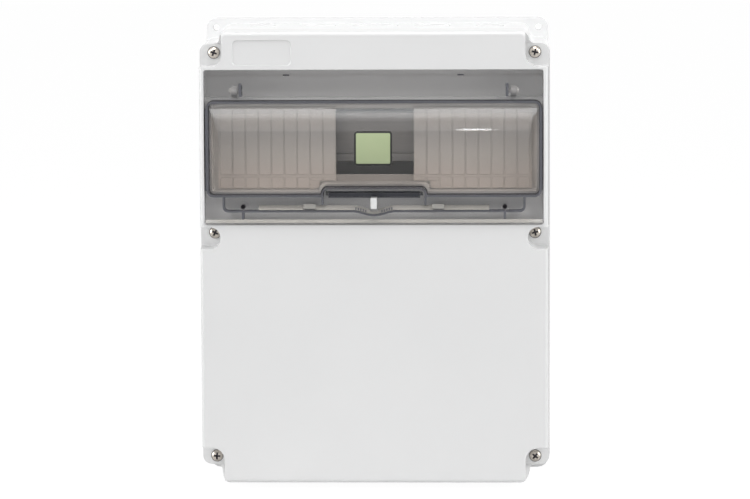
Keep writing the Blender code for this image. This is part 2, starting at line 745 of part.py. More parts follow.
def make_window(material):
    """Smoked cover of the device opening, modelled round its hinge."""
    hinge = bpy.data.objects.new("window_hinge_axis", None)
    hinge.location = (0.0, depth(HINGE_DEPTH), HINGE_Z)
    bpy.context.scene.collection.objects.link(hinge)
    window_half = RECESS_HALF - WINDOW_GAP
    bottom = RECESS_BOTTOM + WINDOW_GAP
    bm = bmesh.new()
    add_beam(bm, window_profile(bottom), -window_half, window_half)
    window = solid("window_cover", bm, material)

    bm = bmesh.new()
    add_dome(bm, 0.0)
    join(window, "dome", bm)
    back = depth(WINDOW_WALL / 2)
    bm = bmesh.new()
    add_ring(bm, skirt_outline(0.0), skirt_outline(SKIRT_WALL), back, depth(SKIRT_END))
    join(window, "skirt", bm)
    bm = bmesh.new()
    add_chamber(bm, back)
    join(window, "chamber", bm)
    bm = bmesh.new()
    for x in (-SEAL_HOLE_FROM_CENTRE, SEAL_HOLE_FROM_CENTRE):
        boss = circle(x, PULL_Z - PULL_DEPTH / 3, SEAL_HOLE_BOSS, SMALL_SIDES)
        add_prism(bm, boss, back, depth(RIB_DEPTH - FIT))
    join(window, "bosses", bm)
    bm = bmesh.new()
    for x in (-SEAL_HOLE_FROM_CENTRE, SEAL_HOLE_FROM_CENTRE):
        add_box(
            bm,
            x - SKIRT_WALL / 2, x + SKIRT_WALL / 2,
            back, depth(RIB_DEPTH - 2 * FIT),
            bottom + LIP_HEIGHT, RECESS_BOTTOM + CHAMBER_ABOVE_RECESS + SKIRT_WALL / 2,
        )
    join(window, "feet", bm)
    bm = bmesh.new()
    pad_half = PULL_HALF + PULL_PAD
    add_box(
        bm,
        -pad_half, pad_half,
        back, depth(PULL_DEPTH + PULL_PAD),
        PULL_Z - PULL_DEPTH - PULL_PAD - PULL_DIP / 2, PULL_Z + PULL_PAD,
    )
    join(window, "pull_pad", bm)
    bm = bmesh.new()
    scoop = scoop_outline(JOG_HALF + SKIRT_WALL / 2, PULL_Z - SCOOP_WALL, SKIRT_WALL / 2)
    add_prism(bm, scoop, back, depth(SCOOP_DEPTH + SCOOP_WALL))
    join(window, "scoop", bm)
    add_hinge_ribs(window, back)
    add_snap_arms(window)

    bm = bmesh.new()
    add_dome(bm, WINDOW_WALL)
    cut(window, "dome_inside", bm)
    bm = bmesh.new()
    inside_half = JOG_HALF - SCOOP_WALL
    add_prism(bm, scoop_outline(inside_half, PULL_Z, -SCOOP_WALL), depth(-DOME_HEIGHT), depth(SCOOP_DEPTH))
    cut(window, "scoop_inside", bm)
    bm = bmesh.new()
    slot_half = inside_half - JOG_ROUND / 2
    slot_top = SKIRT_BOTTOM + JOG_RISE - SCOOP_WALL
    add_box(
        bm,
        -slot_half, slot_half,
        depth(SCOOP_DEPTH - PAST), depth(SCOOP_DEPTH + SCOOP_WALL + PAST),
        slot_top - SCOOP_GAP, slot_top,
    )
    cut(window, "scoop_slot", bm)
    bm = bmesh.new()
    eye_half = EYE_WIDTH / 2 + EYE_CLEARANCE
    add_box(
        bm,
        -eye_half, eye_half,
        depth(-PAST), depth(SCOOP_DEPTH + SCOOP_WALL + 2 * PAST),
        EYE_Z - EYE_SWING, EYE_Z + EYE_HEIGHT + EYE_CLEARANCE,
    )
    cut(window, "eye_slot", bm)
    bm = bmesh.new()
    add_loft(bm, [(pull_outline(-PAST), depth(-PAST)), (pull_outline(PULL_DEPTH), depth(PULL_DEPTH))])
    cut(window, "pull", bm)
    bm = bmesh.new()
    for x in (-SEAL_HOLE_FROM_CENTRE, SEAL_HOLE_FROM_CENTRE):
        z = PULL_Z - PULL_DEPTH / 3
        add_loft(bm, [
            (circle(x, z, SEAL_HOLE_RING, SMALL_SIDES), depth(-PAST)),
            (circle(x, z, SEAL_HOLE_RING, SMALL_SIDES), depth(0)),
            (circle(x, z, SEAL_HOLE, SMALL_SIDES), depth(PAST)),
            (circle(x, z, SEAL_HOLE, SMALL_SIDES), depth(RIB_DEPTH + PAST)),
        ])
    cut(window, "seal_holes", bm)
    bm = bmesh.new()
    for x in (-CLIP_FROM_CENTRE, CLIP_FROM_CENTRE):
        add_beam(
            bm,
            [
                (depth(-PAST), PULL_Z - PULL_DEPTH * 0.7),
                (depth(-PAST), PULL_Z - PULL_DEPTH * 0.2),
                (depth(0), PULL_Z + PULL_PAD / 2),
                (depth(PULL_DEPTH + PULL_PAD / 2), PULL_Z + PULL_PAD / 2),
                (depth(PULL_DEPTH + PULL_PAD / 2), PULL_Z - PULL_DEPTH),
                (depth(PULL_DEPTH / 2), PULL_Z - PULL_DEPTH),
            ],
            x - CLIP_WIDTH / 2,
            x + CLIP_WIDTH / 2,
        )
    join(window, "clips", bm)

    for obj in [window] + [m.object for m in window.modifiers]:
        obj.parent = hinge
        obj.matrix_parent_inverse = Matrix.Translation(-hinge.location)
    return window


def scoop_outline(half, bottom, grow):
    """Arch of the finger scoop, which follows the jog of the skirt at a distance of grow outside it."""
    top = SKIRT_BOTTOM + JOG_RISE + grow
    turn = JOG_ROUND + grow
    return rounded([(-half, bottom, 0), (half, bottom, 0), (half, top, turn), (-half, top, turn)])


def window_profile(bottom):
    """Side view of the window: a flat pane, rolled over at the top round the hinge, with a pull lip below."""
    inner = ROLL_RADIUS - WINDOW_WALL
    start = asin(HINGE_DEPTH / ROLL_RADIUS)
    inner_start = asin((HINGE_DEPTH - WINDOW_WALL) / inner)
    steps = 2 * ARC_STEPS
    profile = [
        (depth(WINDOW_WALL), bottom),
        (depth(-LIP_REACH), bottom),
        (depth(-LIP_REACH), bottom + LIP_HEIGHT - LIP_REACH),
        (depth(0), bottom + LIP_HEIGHT),
    ]
    for radius, first, last in (
        (ROLL_RADIUS, start, asin(ROLL_END / ROLL_RADIUS)),
        (inner, asin(ROLL_END / inner), inner_start),
    ):
        for step in range(steps + 1):
            angle = first + (last - first) * step / steps
            profile.append((depth(HINGE_DEPTH - sin(angle) * radius), HINGE_Z + cos(angle) * radius))
    return profile


def add_dome(bm, wall):
    """Vault over the device fronts, drawn in by wall for its hollow, with sloping flat ends."""
    half_chord = (DOME_TOP - DOME_BOTTOM) / 2
    radius = (half_chord ** 2 + DOME_HEIGHT ** 2) / (2 * DOME_HEIGHT)
    middle = (DOME_TOP + DOME_BOTTOM) / 2
    centre = radius - DOME_HEIGHT
    foot = WINDOW_WALL + PAST if wall else WINDOW_WALL / 2
    arc = radius - wall
    reach = acos(centre / arc)
    steps = 5 * ARC_STEPS
    profile = [(depth(foot), middle - arc * sin(reach))]
    for step in range(steps + 1):
        angle = -reach + 2 * reach * step / steps
        profile.append((depth(centre - arc * cos(angle)), middle + arc * sin(angle)))
    profile.append((depth(foot), middle + arc * sin(reach)))
    add_beam(bm, profile, -DOME_HALF, DOME_HALF)
    inset = wall / sin(DOME_END_SLOPE)
    for side in (-1, 1):
        bmesh.ops.bisect_plane(
            bm,
            geom=bm.verts[:] + bm.edges[:] + bm.faces[:],
            plane_co=(side * (DOME_HALF - inset), depth(0), middle),
            plane_no=(side * sin(DOME_END_SLOPE), -cos(DOME_END_SLOPE), 0),
            clear_outer=True,
        )
        bmesh.ops.holes_fill(bm, edges=[e for e in bm.edges if e.is_boundary])


def dip(x):
    """How far the finger pull bows down at x."""
    if abs(x) >= PULL_DIP_HALF:
        return 0.0
    return PULL_DIP * (1 + cos(pi * x / PULL_DIP_HALF)) / 2


def dip_places():
    steps = 3 * ARC_STEPS
    return [PULL_DIP_HALF * (2 * step / steps - 1) for step in range(steps + 1)]


def pull_outline(back):
    """Section of the finger groove at a depth: its lower side slopes up towards the back."""
    rise = PULL_DEPTH - back
    top = PULL_Z + FIT
    outline = [Vector((PULL_HALF, top)), Vector((-PULL_HALF, top)), Vector((-PULL_HALF, PULL_Z - rise))]
    outline += [Vector((x, PULL_Z - rise - dip(x))) for x in dip_places()]
    outline.append(Vector((PULL_HALF, PULL_Z - rise)))
    return outline


def add_chamber(bm, back):
    """Rib behind the finger pull, from the skirt down and round, bowed like the pull."""
    top = SKIRT_BOTTOM + SKIRT_WALL / 2
    low = RECESS_BOTTOM + CHAMBER_ABOVE_RECESS
    outlines = []
    for inset in (0.0, SKIRT_WALL):
        half = CHAMBER_HALF - inset
        turn = CHAMBER_ROUND - inset
        bowed = [(x, low + inset - dip(x), 0) for x in dip_places()]
        left = [(-half, top, 0), (-half, low + inset, turn)]
        right = [(half, low + inset, turn), (half, top, 0)]
        outlines.append(rounded(left + bowed + right))
    add_prism(bm, outlines[0] + outlines[1][::-1], back, depth(RIB_DEPTH))


def add_hinge_ribs(window, back):
    bm = bmesh.new()
    steps = 3 * ARC_STEPS
    for side in (-1, 1):
        x0 = side * HINGE_FROM_CENTRE - HINGE_RIB / 2
        profile = [(back, HINGE_Z - HINGE_RIB_ROUND)]
        for step in range(steps + 1):
            angle = -pi / 2 + pi * step / steps
            profile.append((
                depth(HINGE_DEPTH + cos(angle) * HINGE_RIB_ROUND),
                HINGE_Z + sin(angle) * HINGE_RIB_ROUND,
            ))
        profile.append((back, HINGE_Z + HINGE_RIB_ROUND + HINGE_RIB_RISE))
        add_beam(bm, profile, x0, x0 + HINGE_RIB)
    join(window, "hinge_ribs", bm)
    bm = bmesh.new()
    for side in (-1, 1):
        x0 = side * HINGE_FROM_CENTRE - HINGE_RIB / 2
        bore = circle_yz(depth(HINGE_DEPTH), HINGE_Z, HINGE_PIN + 2 * BORE_CLEARANCE)
        add_beam(bm, bore, x0 - PAST, x0 + HINGE_RIB + PAST)
    cut(window, "hinge_bores", bm)


def add_snap_arms(window):
    bm = bmesh.new()
    for x in (-CLIP_FROM_CENTRE, CLIP_FROM_CENTRE):
        add_box(
            bm,
            x - CLIP_WIDTH / 2, x + CLIP_WIDTH / 2,
            depth(PULL_DEPTH), depth(SEAL_DEPTH - CLIP_ARM / 2),
            PULL_Z - CLIP_ARM, PULL_Z,
        )
    join(window, "snap_arms", bm)


def make_window_gasket(material):
    bm = bmesh.new()
    add_ring(
        bm,
        skirt_outline(-GASKET_OVERHANG), skirt_outline(SKIRT_WALL + GASKET_OVERHANG),
        depth(SEAL_DEPTH - FIT - WINDOW_GASKET), depth(SEAL_DEPTH - FIT),
    )
    return solid("window_gasket", bm, material)


def make_hinge_pin(name, side, material):
    """Headed pin through the cover's lug, with its plain end in the window's rib."""
    inner = HINGE_FROM_CENTRE - HINGE_RIB / 2
    lug_outer = HINGE_FROM_CENTRE + HINGE_RIB / 2 + HINGE_LUG_GAP + HINGE_LUG
    head = HINGE_PIN * 1.6
    bm = bmesh.new()
    stations = [
        (inner, HINGE_PIN),
        (lug_outer + FIT, HINGE_PIN),
        (lug_outer + FIT, head),
        (lug_outer + FIT + HINGE_PIN / 2, HINGE_PIN),
    ]
    rings = []
    for x, diameter in stations:
        profile = circle_yz(depth(HINGE_DEPTH), HINGE_Z, diameter)
        rings.append([bm.verts.new((side * x, y, z)) for y, z in profile])
    for a, b in zip(rings, rings[1:]):
        for i in range(len(a)):
            j = (i + 1) % len(a)
            bm.faces.new((a[i], a[j], b[j], b[i]))
    bm.faces.new(rings[0])
    bm.faces.new(rings[-1])
    return solid(name, bm, material)


def make_filler(name, side, material):
    """Blanking plate with one moulded pad for each strip, plugged into the slot beside the opening."""
    well_bottom = WELL_BOTTOM + FIT
    jog_bottom = well_bottom + JOG_RISE
    jog_edge = JOG_HALF + SEAL_LEDGE + FIT
    inner = OPEN_HALF
    outer = SLOT_HALF + FILLER_OVERLAP
    top = SLOT_TOP + FILLER_OVERLAP
    front = depth(WELL_DEPTH - FIT - FILLER_THICKNESS)
    bm = bmesh.new()
    sheet = rounded([
        (side * inner, top, 0),
        (side * outer, top, 0),
        (side * outer, well_bottom, 0),
        (side * jog_edge, well_bottom, JOG_RISE / 2),
        (side * jog_edge, jog_bottom, 0),
        (side * inner, jog_bottom, 0),
    ])
    add_prism(bm, sheet, front, depth(WELL_DEPTH - FIT))
    filler = solid(name, bm, material)
    bm = bmesh.new()
    x0, x1 = sorted((side * (inner + FIT), side * (SLOT_HALF - FIT)))
    add_box(
        bm, x0, x1, front + FILLER_THICKNESS / 2, front + FILLER_PLUG, SLOT_BOTTOM + FIT, SLOT_TOP - FIT
    )
    join(filler, "plug", bm)
    bm = bmesh.new()
    for strip in range(STRIPS_A_SIDE):
        near = inner + strip * STRIP_PITCH + PAD_GAP / 2
        far = near + STRIP_PITCH - PAD_GAP
        foot = jog_bottom if near < jog_edge else well_bottom
        x0, x1 = sorted((side * near, side * far))
        rear = front + FILLER_THICKNESS / 2
        add_prism(bm, rectangle(x0, x1, SLOT_BOTTOM, SLOT_TOP, PAD_ROUND, PAD_STEPS), front - PAD_RISE, rear)
        apron_top = SLOT_BOTTOM - APRON_GAP
        turn = min(PAD_ROUND, (apron_top - foot - FIT) / 2 - FIT / 3)
        add_prism(bm, rectangle(x0, x1, foot + FIT, apron_top, turn, PAD_STEPS), front - PAD_RISE, rear)
    join(filler, "pads", bm)
    return filler


def make_rail(material):
    front = -RAIL_FROM_WALL
    back = front + RAIL_DEPTH
    half = RAIL_HEIGHT / 2
    web = RAIL_WEB / 2
    metal = RAIL_METAL
    profile = [
        (front, half), (front, web - metal), (back - metal, web - metal), (back - metal, metal - web),
        (front, metal - web), (front, -half), (front + metal, -half), (front + metal, -web),
        (back, -web), (back, web), (front + metal, web), (front + metal, half),
    ]
    bm = bmesh.new()
    add_beam(bm, [(y, SLOT_Z + z) for y, z in profile], -RAIL_HALF, RAIL_HALF)
    rail = solid("din_rail", bm, material)
    bm = bmesh.new()
    clear = RAIL_POST_X - RAIL_SLOT_LENGTH
    slots = int(clear / RAIL_SLOT_PITCH)
    for i in range(-slots, slots + 1):
        x = i * RAIL_SLOT_PITCH
        hole = rectangle(
            x - RAIL_SLOT_LENGTH / 2, x + RAIL_SLOT_LENGTH / 2,
            SLOT_Z - RAIL_SLOT_WIDTH / 2, SLOT_Z + RAIL_SLOT_WIDTH / 2, RAIL_SLOT_WIDTH / 2 - FIT,
        )
        add_prism(bm, hole, back - metal - PAST, back + PAST)
    for x in (-RAIL_POST_X, RAIL_POST_X):
        hole = circle(x, SLOT_Z, SMALL_SCREW + 2 * BORE_CLEARANCE, SMALL_SIDES)
        add_prism(bm, hole, back - metal - PAST, back + PAST)
    cut(rail, "slots", bm)
    return rail


def make_rail_screw(name, x, material):
    seat = BOX_DEPTH - RAIL_FROM_WALL + RAIL_DEPTH - RAIL_METAL - FIT
    bm = bmesh.new()
    add_screw(
        bm, x, SLOT_Z, seat, SMALL_SCREW, SMALL_SCREW_LENGTH - PAST, SMALL_SCREW_HEAD, SMALL_SCREW_HEAD_HEIGHT
    )
    screw = solid(name, bm, material)
    cut_driver_slot(screw, x, SLOT_Z, depth(seat - SMALL_SCREW_HEAD_HEIGHT), SMALL_SCREW_HEAD)
    return screw


def cut_driver_slot(screw, x, z, face, head):
    bm = bmesh.new()
    add_box(bm, x - head, x + head, face - PAST, face + PAST, z - SLOT_CUT / 2, z + SLOT_CUT / 2)
    cut(screw, "driver_slot", bm)


BAR_SUPPORT_X = BAR_LENGTH / 2 - BAR_SCREW_FROM_END
BAR_ROWS = [
    ("positive", -BAR_ROW_BELOW_CENTRE + BAR_PITCH),
    ("negative", -BAR_ROW_BELOW_CENTRE),
    ("earth", -BAR_ROW_BELOW_CENTRE - BAR_PITCH),
]
BAR_FRONT = -(BACK_WALL + 2 * FIT + BAR_SUPPORT_HEIGHT + BAR_THICKNESS)
TERMINAL_PLACES = [(i - (TERMINALS - 1) / 2) * TERMINAL_PITCH for i in range(TERMINALS)]


def make_bar_support(name, x, material):
    """Insulating strip on the back wall that carries one end of all three bars."""
    bm = bmesh.new()
    top = BAR_ROWS[0][1] + BAR_HEIGHT / 2 + BAR_SUPPORT_OVERHANG
    bottom = BAR_ROWS[-1][1] - BAR_HEIGHT / 2 - BAR_SUPPORT_OVERHANG
    half = BAR_SUPPORT_WIDTH / 2
    back = -BACK_WALL - FIT
    add_box(bm, x - half, x + half, back - BAR_SUPPORT_HEIGHT, back, bottom, top)
    support = solid(name, bm, material)
    bm = bmesh.new()
    for _, z in BAR_ROWS:
        hole = circle(x, z, SMALL_SCREW + 2 * BORE_CLEARANCE, SMALL_SIDES)
        add_prism(bm, hole, back - BAR_SUPPORT_HEIGHT - PAST, back - BAR_SUPPORT_HEIGHT + SMALL_SCREW_LENGTH)
    cut(support, "holes", bm)
    return support


def make_bar(name, z, material):
    """Terminal bar: each wire goes in from above or below, and the screw in front clamps it."""
    bm = bmesh.new()
    half = BAR_HEIGHT / 2
    back = BAR_FRONT + BAR_THICKNESS
    add_box(bm, -BAR_LENGTH / 2, BAR_LENGTH / 2, BAR_FRONT, back, z - half, z + half)
    bar = solid(name, bm, material)
    bm = bmesh.new()
    for x in TERMINAL_PLACES:
        hole = circle(x, z, TERMINAL_SCREW + 2 * BORE_CLEARANCE, SMALL_SIDES)
        add_prism(bm, hole, BAR_FRONT - PAST, BAR_FRONT + TERMINAL_SCREW_REACH + PAST)
    for x in (-BAR_SUPPORT_X, BAR_SUPPORT_X):
        hole = circle(x, z, SMALL_SCREW + 2 * BORE_CLEARANCE, SMALL_SIDES)
        add_prism(bm, hole, BAR_FRONT - PAST, back + PAST)
    cut(bar, "screw_holes", bm)
    bm = bmesh.new()
    for x in TERMINAL_PLACES:
        bmesh.ops.create_cone(
            bm,
            cap_ends=True,
            segments=SMALL_SIDES,
            radius1=WIRE_HOLE / 2,
            radius2=WIRE_HOLE / 2,
            depth=BAR_HEIGHT + 2 * PAST,
            matrix=Matrix.Translation((x, BAR_FRONT + BAR_THICKNESS / 2, z)),
        )
    cut(bar, "wire_holes", bm)
    return bar


def make_bar_screw(name, x, z, material):
    seat = BOX_DEPTH + BAR_FRONT - FIT
    length = BAR_THICKNESS + SMALL_SCREW_LENGTH - PAST
    bm = bmesh.new()
    add_screw(bm, x, z, seat, SMALL_SCREW, length, SMALL_SCREW_HEAD, SMALL_SCREW_HEAD_HEIGHT)
    screw = solid(name, bm, material)
    cut_driver_slot(screw, x, z, depth(seat - SMALL_SCREW_HEAD_HEIGHT), SMALL_SCREW_HEAD)
    return screw


def make_terminal_screw(name, x, z, material):
    seat = BOX_DEPTH + BAR_FRONT - FIT
    bm = bmesh.new()
    add_screw(
        bm, x, z, seat, TERMINAL_SCREW, TERMINAL_SCREW_REACH, TERMINAL_SCREW_HEAD, TERMINAL_SCREW_HEAD_HEIGHT
    )
    screw = solid(name, bm, material)
    cut_driver_slot(screw, x, z, depth(seat - TERMINAL_SCREW_HEAD_HEIGHT), TERMINAL_SCREW_HEAD)
    return screw


def main():
    for obj in list(bpy.data.objects):
        bpy.data.objects.remove(obj)
    case_white = finish("case_plastic", (0.76, 0.76, 0.76), 0.3)
    smoked = finish("smoked_pane", (0.22, 0.21, 0.21), 0.08, alpha=0.55)
    filler_white = finish("filler_plastic", (0.72, 0.71, 0.69), 0.4)
    rubber = finish("gasket_rubber", (0.05, 0.05, 0.055), 0.8)
    nickel = finish("screw_nickel", (0.62, 0.60, 0.57), 0.25, 1.0)
    zinc = finish("rail_zinc", (0.55, 0.56, 0.57), 0.35, 1.0)
    brass = finish("bar_brass", (0.72, 0.55, 0.25), 0.3, 1.0)
    support_grey = finish("support_plastic", (0.25, 0.26, 0.28), 0.5)

    make_base(case_white)
    make_cover(case_white)
    make_cover_gasket(rubber)
    for place, x, z in SCREW_PLACES:
        make_cover_screw(place, x, z, nickel)
    make_window(smoked)
    make_window_gasket(rubber)
    for name, side in (("left", -1), ("right", 1)):
        make_hinge_pin(f"hinge_pin_{name}", side, filler_white)
        make_filler(f"blanking_plate_{name}", side, filler_white)
        make_rail_screw(f"rail_screw_{name}", side * RAIL_POST_X, zinc)
        make_bar_support(f"bar_support_{name}", side * BAR_SUPPORT_X, support_grey)
    make_rail(zinc)
    for pole, z in BAR_ROWS:
        make_bar(f"{pole}_bar", z, brass)
        for name, side in (("left", -1), ("right", 1)):
            make_bar_screw(f"{pole}_bar_screw_{name}", side * BAR_SUPPORT_X, z, zinc)
        for number, x in enumerate(TERMINAL_PLACES, 1):
            make_terminal_screw(f"{pole}_terminal_{number}", x, z, zinc)


main()
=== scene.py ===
import json
from math import cos, pi, radians, sin, sqrt

import bmesh
import bpy
from mathutils import Matrix, Vector


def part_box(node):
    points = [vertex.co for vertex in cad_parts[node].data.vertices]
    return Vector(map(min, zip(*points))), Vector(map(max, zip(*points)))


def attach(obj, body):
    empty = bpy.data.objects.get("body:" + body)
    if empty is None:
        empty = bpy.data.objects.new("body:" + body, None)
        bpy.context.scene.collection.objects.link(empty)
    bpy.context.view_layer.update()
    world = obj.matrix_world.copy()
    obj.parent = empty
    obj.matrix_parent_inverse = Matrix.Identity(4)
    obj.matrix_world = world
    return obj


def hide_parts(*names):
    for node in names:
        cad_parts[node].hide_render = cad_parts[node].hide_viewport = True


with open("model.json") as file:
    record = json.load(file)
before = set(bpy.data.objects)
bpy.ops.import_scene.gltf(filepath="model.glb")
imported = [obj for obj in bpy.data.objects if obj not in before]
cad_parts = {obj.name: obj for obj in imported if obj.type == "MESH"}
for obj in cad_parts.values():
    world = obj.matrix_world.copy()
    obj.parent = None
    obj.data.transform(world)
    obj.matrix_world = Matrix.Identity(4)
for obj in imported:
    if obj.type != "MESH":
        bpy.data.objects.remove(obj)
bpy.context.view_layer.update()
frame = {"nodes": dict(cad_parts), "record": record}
nodes = frame["nodes"]
scene = bpy.context.scene
scene.view_settings.view_transform = "Standard"
halfway = 0.5  # the middle of a noise and of a colour ramp
print("frame loaded:", len(nodes), "nodes")


def opaque(colour):
    return (*colour, 1.0)


# Wraps a socket, so that shader maths reads as plain expressions
class Signal:
    def __init__(self, graph, socket):
        self.graph = graph
        self.socket = socket

    def maths(self, operation, first, second):
        return self.graph.add("ShaderNodeMath", {"operation": operation}, {0: first, 1: second})

    def __add__(self, other):
        return self.maths("ADD", self, other)

    def __radd__(self, other):
        return self.maths("ADD", other, self)

    def __sub__(self, other):
        return self.maths("SUBTRACT", self, other)

    def __mul__(self, other):
        return self.maths("MULTIPLY", self, other)

    def __pow__(self, other):
        return self.maths("POWER", self, other)


class Graph:
    def __init__(self, tree):
        self.tree = tree

    # Any node: its settings first, then values or links for its sockets
    def add(self, kind, settings=None, sockets=None, output=0):
        node = self.tree.nodes.new(kind)
        for name, value in (settings or {}).items():
            if name == "stops":
                ramp = node.color_ramp
                while len(ramp.elements) < len(value):
                    ramp.elements.new(halfway)
                for element, (place, colour) in zip(ramp.elements, value):
                    element.position = place
                    element.color = opaque(colour)
            else:
                setattr(node, name, value)
        for name, value in (sockets or {}).items():
            if isinstance(value, Signal):
                self.tree.links.new(value.socket, node.inputs[name])
            else:
                node.inputs[name].default_value = value
        return Signal(self, node.outputs[output])

    def surface(self, shader, kind="ShaderNodeOutputMaterial"):
        target = self.tree.nodes.new(kind)
        self.tree.links.new(shader.socket, target.inputs["Surface"])


def newMaterial(name):
    material = bpy.data.materials.new(name)
    material.use_nodes = True
    material.node_tree.nodes.clear()
    return material, Graph(material.node_tree)


# Sockets of the colour mix: its others are for plain numbers and vectors
mixSockets = {"share": 0, "first": 6, "second": 7, "result": 2}


def mixColours(graph, share, first, second, blend="MIX"):
    settings = {"data_type": "RGBA", "blend_type": blend}
    sockets = {mixSockets["share"]: share, mixSockets["first"]: first, mixSockets["second"]: second}
    return graph.add("ShaderNodeMix", settings, sockets, mixSockets["result"])


def mixShaders(graph, share, first, second):
    return graph.add("ShaderNodeMixShader", {}, {0: share, 1: first, 2: second})


def noise(graph, place, scale, detail):
    return graph.add("ShaderNodeTexNoise", {}, {"Vector": place, "Scale": scale, "Detail": detail})


# Injection-moulded plastic: fine grain, faint cloudiness, soft gloss
def mouldedPlastic(name, look):
    material, graph = newMaterial(name)
    place = graph.add("ShaderNodeTexCoord", output="Object")
    cloud = noise(graph, place, look["cloudScale"], detail=3.0)
    grain = noise(graph, place, look["grainScale"], detail=2.0)
    colour = mixColours(graph, cloud, opaque(look["dark"]), opaque(look["light"]))
    if "shades" in look:  # painted shade: the colour changes with height
        low, high = look["heights"]
        height = graph.add("ShaderNodeSeparateXYZ", {}, {"Vector": place}, output="Z")
        share = (height - low) * (1.0 / (high - low))
        shade = graph.add("ShaderNodeValToRGB", {"stops": look["shades"]}, {"Fac": share})
        colour = mixColours(graph, 1.0, colour, shade, blend="MULTIPLY")
    roughness = look["roughness"] + (cloud - halfway) * look["roughSpread"]
    bump = graph.add("ShaderNodeBump", {}, {"Strength": look["grain"], "Distance": 0.0002, "Height": grain})
    shader = graph.add(
        "ShaderNodeBsdfPrincipled", {},
        {"Base Color": colour, "Roughness": roughness, "Normal": bump, "IOR": look["ior"]},
    )
    if "clear" in look:  # part of the light passes
        through = graph.add("ShaderNodeBsdfTransparent", {}, {"Color": opaque(look["light"])})
        shader = mixShaders(graph, look["clear"], shader, through)
    graph.surface(shader)
    return material


# Drawn or plated metal with faint streaks
def platedMetal(name, look):
    material, graph = newMaterial(name)
    place = graph.add("ShaderNodeTexCoord", output="Object")
    spread = graph.add("ShaderNodeMapping", {}, {"Vector": place, "Scale": look["stretch"]})
    streak = noise(graph, spread, look["scale"], detail=4.0)
    colour = mixColours(graph, streak, opaque(look["dark"]), opaque(look["light"]))
    roughness = look["roughness"] + (streak - halfway) * look["roughSpread"]
    bump = graph.add("ShaderNodeBump", {}, {"Strength": look["bump"], "Distance": 0.0001, "Height": streak})
    shader = graph.add(
        "ShaderNodeBsdfPrincipled", {},
        {"Base Color": colour, "Roughness": roughness, "Normal": bump, "Metallic": 1.0},
    )
    graph.surface(shader)
    return material


# Smoked clear plastic: lets tinted light through, and mirrors more the flatter it is seen
def smokedPlastic(name, look):
    material, graph = newMaterial(name)
    place = graph.add("ShaderNodeTexCoord", output="Object")
    cloud = noise(graph, place, look["cloudScale"], detail=2.0)
    through = graph.add("ShaderNodeBsdfTransparent", {}, {"Color": opaque(look["tint"])})
    roughness = look["roughness"] + (cloud - halfway) * look["roughSpread"]
    mirror = graph.add(
        "ShaderNodeBsdfPrincipled", {},
        {"Base Color": opaque(look["mirror"]), "Metallic": 1.0, "Roughness": roughness},
    )
    edge = graph.add("ShaderNodeLayerWeight", {}, {"Blend": 0.5}, output="Facing")
    share = look["shine"] + edge ** look["edgePower"] * look["edgeShine"]
    graph.surface(mixShaders(graph, share, through, mirror))
    return material


caseLook = {
    "dark": (0.745, 0.748, 0.750), "light": (0.785, 0.786, 0.786), "cloudScale": 14.0, "grainScale": 2600.0,
    "grain": 0.05, "roughness": 0.24, "roughSpread": 0.08, "ior": 1.5,
}
# Painted light: the base's plastic is a lighter copy of the case's, for the light on its flange
litBaseLook = {**caseLook, "dark": (0.810, 0.813, 0.815), "light": (0.845, 0.847, 0.847)}
# Painted light: a lighter copy of the case plastic for the floors of the lower and the middle pockets
litPocketLook = {**caseLook, "dark": (0.870, 0.873, 0.875), "light": (0.905, 0.907, 0.907)}
shadedLook = {**caseLook, "dark": (0.52, 0.515, 0.51), "light": (0.55, 0.545, 0.54), "roughness": 0.4}
fillerLook = {
    "dark": (0.70, 0.69, 0.67), "light": (0.76, 0.75, 0.73), "cloudScale": 30.0, "grainScale": 2600.0,
    "grain": 0.08, "roughness": 0.35, "roughSpread": 0.1, "ior": 1.48,
}
rubberLook = {
    "dark": (0.030, 0.030, 0.032), "light": (0.055, 0.055, 0.058), "cloudScale": 60.0, "grainScale": 1800.0,
    "grain": 0.25, "roughness": 0.75, "roughSpread": 0.1, "ior": 1.5,
}
supportLook = {
    "dark": (0.20, 0.21, 0.23), "light": (0.27, 0.28, 0.30), "cloudScale": 40.0, "grainScale": 2200.0,
    "grain": 0.12, "roughness": 0.5, "roughSpread": 0.1, "ior": 1.48,
}
# Painted shade: the blanking plates turn darker and cooler towards the top
plateLook = {
    **fillerLook, "dark": (0.80, 0.79, 0.77), "light": (0.855, 0.835, 0.815), "heights": (0.040, 0.094),
    "shades": [
        (0.05, (1.0, 0.95, 0.93)), (0.31, (0.95, 0.92, 0.92)), (0.50, (0.84, 0.85, 0.86)),
        (0.70, (0.74, 0.76, 0.79)), (0.84, (0.73, 0.76, 0.80)), (0.95, (0.92, 0.93, 0.95)),
    ],
}
# Painted shade: the grey of the sheet on the seal ledge
ledgeShadeLook = {
    "dark": (0.47, 0.465, 0.475), "light": (0.53, 0.525, 0.535), "cloudScale": 60.0, "grainScale": 1800.0,
    "grain": 0.2, "roughness": 0.6, "roughSpread": 0.1, "ior": 1.45,
}
# Painted shade: the darker tone of the tray floor below the open strips
trayShadeLook = {**fillerLook, "dark": (0.45, 0.43, 0.42), "light": (0.49, 0.47, 0.455), "roughness": 0.45}
padEdgeLook = {**fillerLook, "dark": (0.22, 0.21, 0.20), "light": (0.26, 0.25, 0.24), "roughness": 0.45}
# Painted light: the pane's tint is lighter than the dome's, making up for the shade inside the window
smokedLook = {
    "tint": (0.957, 0.950, 0.946), "mirror": (0.94, 0.97, 1.0), "roughness": 0.04, "roughSpread": 0.02,
    "cloudScale": 25.0, "shine": 0.03, "edgeShine": 0.6, "edgePower": 5.0,
}
domeLook = {**smokedLook, "tint": (0.912, 0.889, 0.868)}
ribLook = {**smokedLook, "tint": (0.52, 0.52, 0.56), "roughness": 0.06, "shine": 0.02, "edgeShine": 0.0}
coreLook = {
    "dark": (0.080, 0.083, 0.100), "light": (0.100, 0.103, 0.123), "cloudScale": 80.0, "grainScale": 2600.0,
    "grain": 0.05, "roughness": 0.4, "roughSpread": 0.1, "ior": 1.45,
}
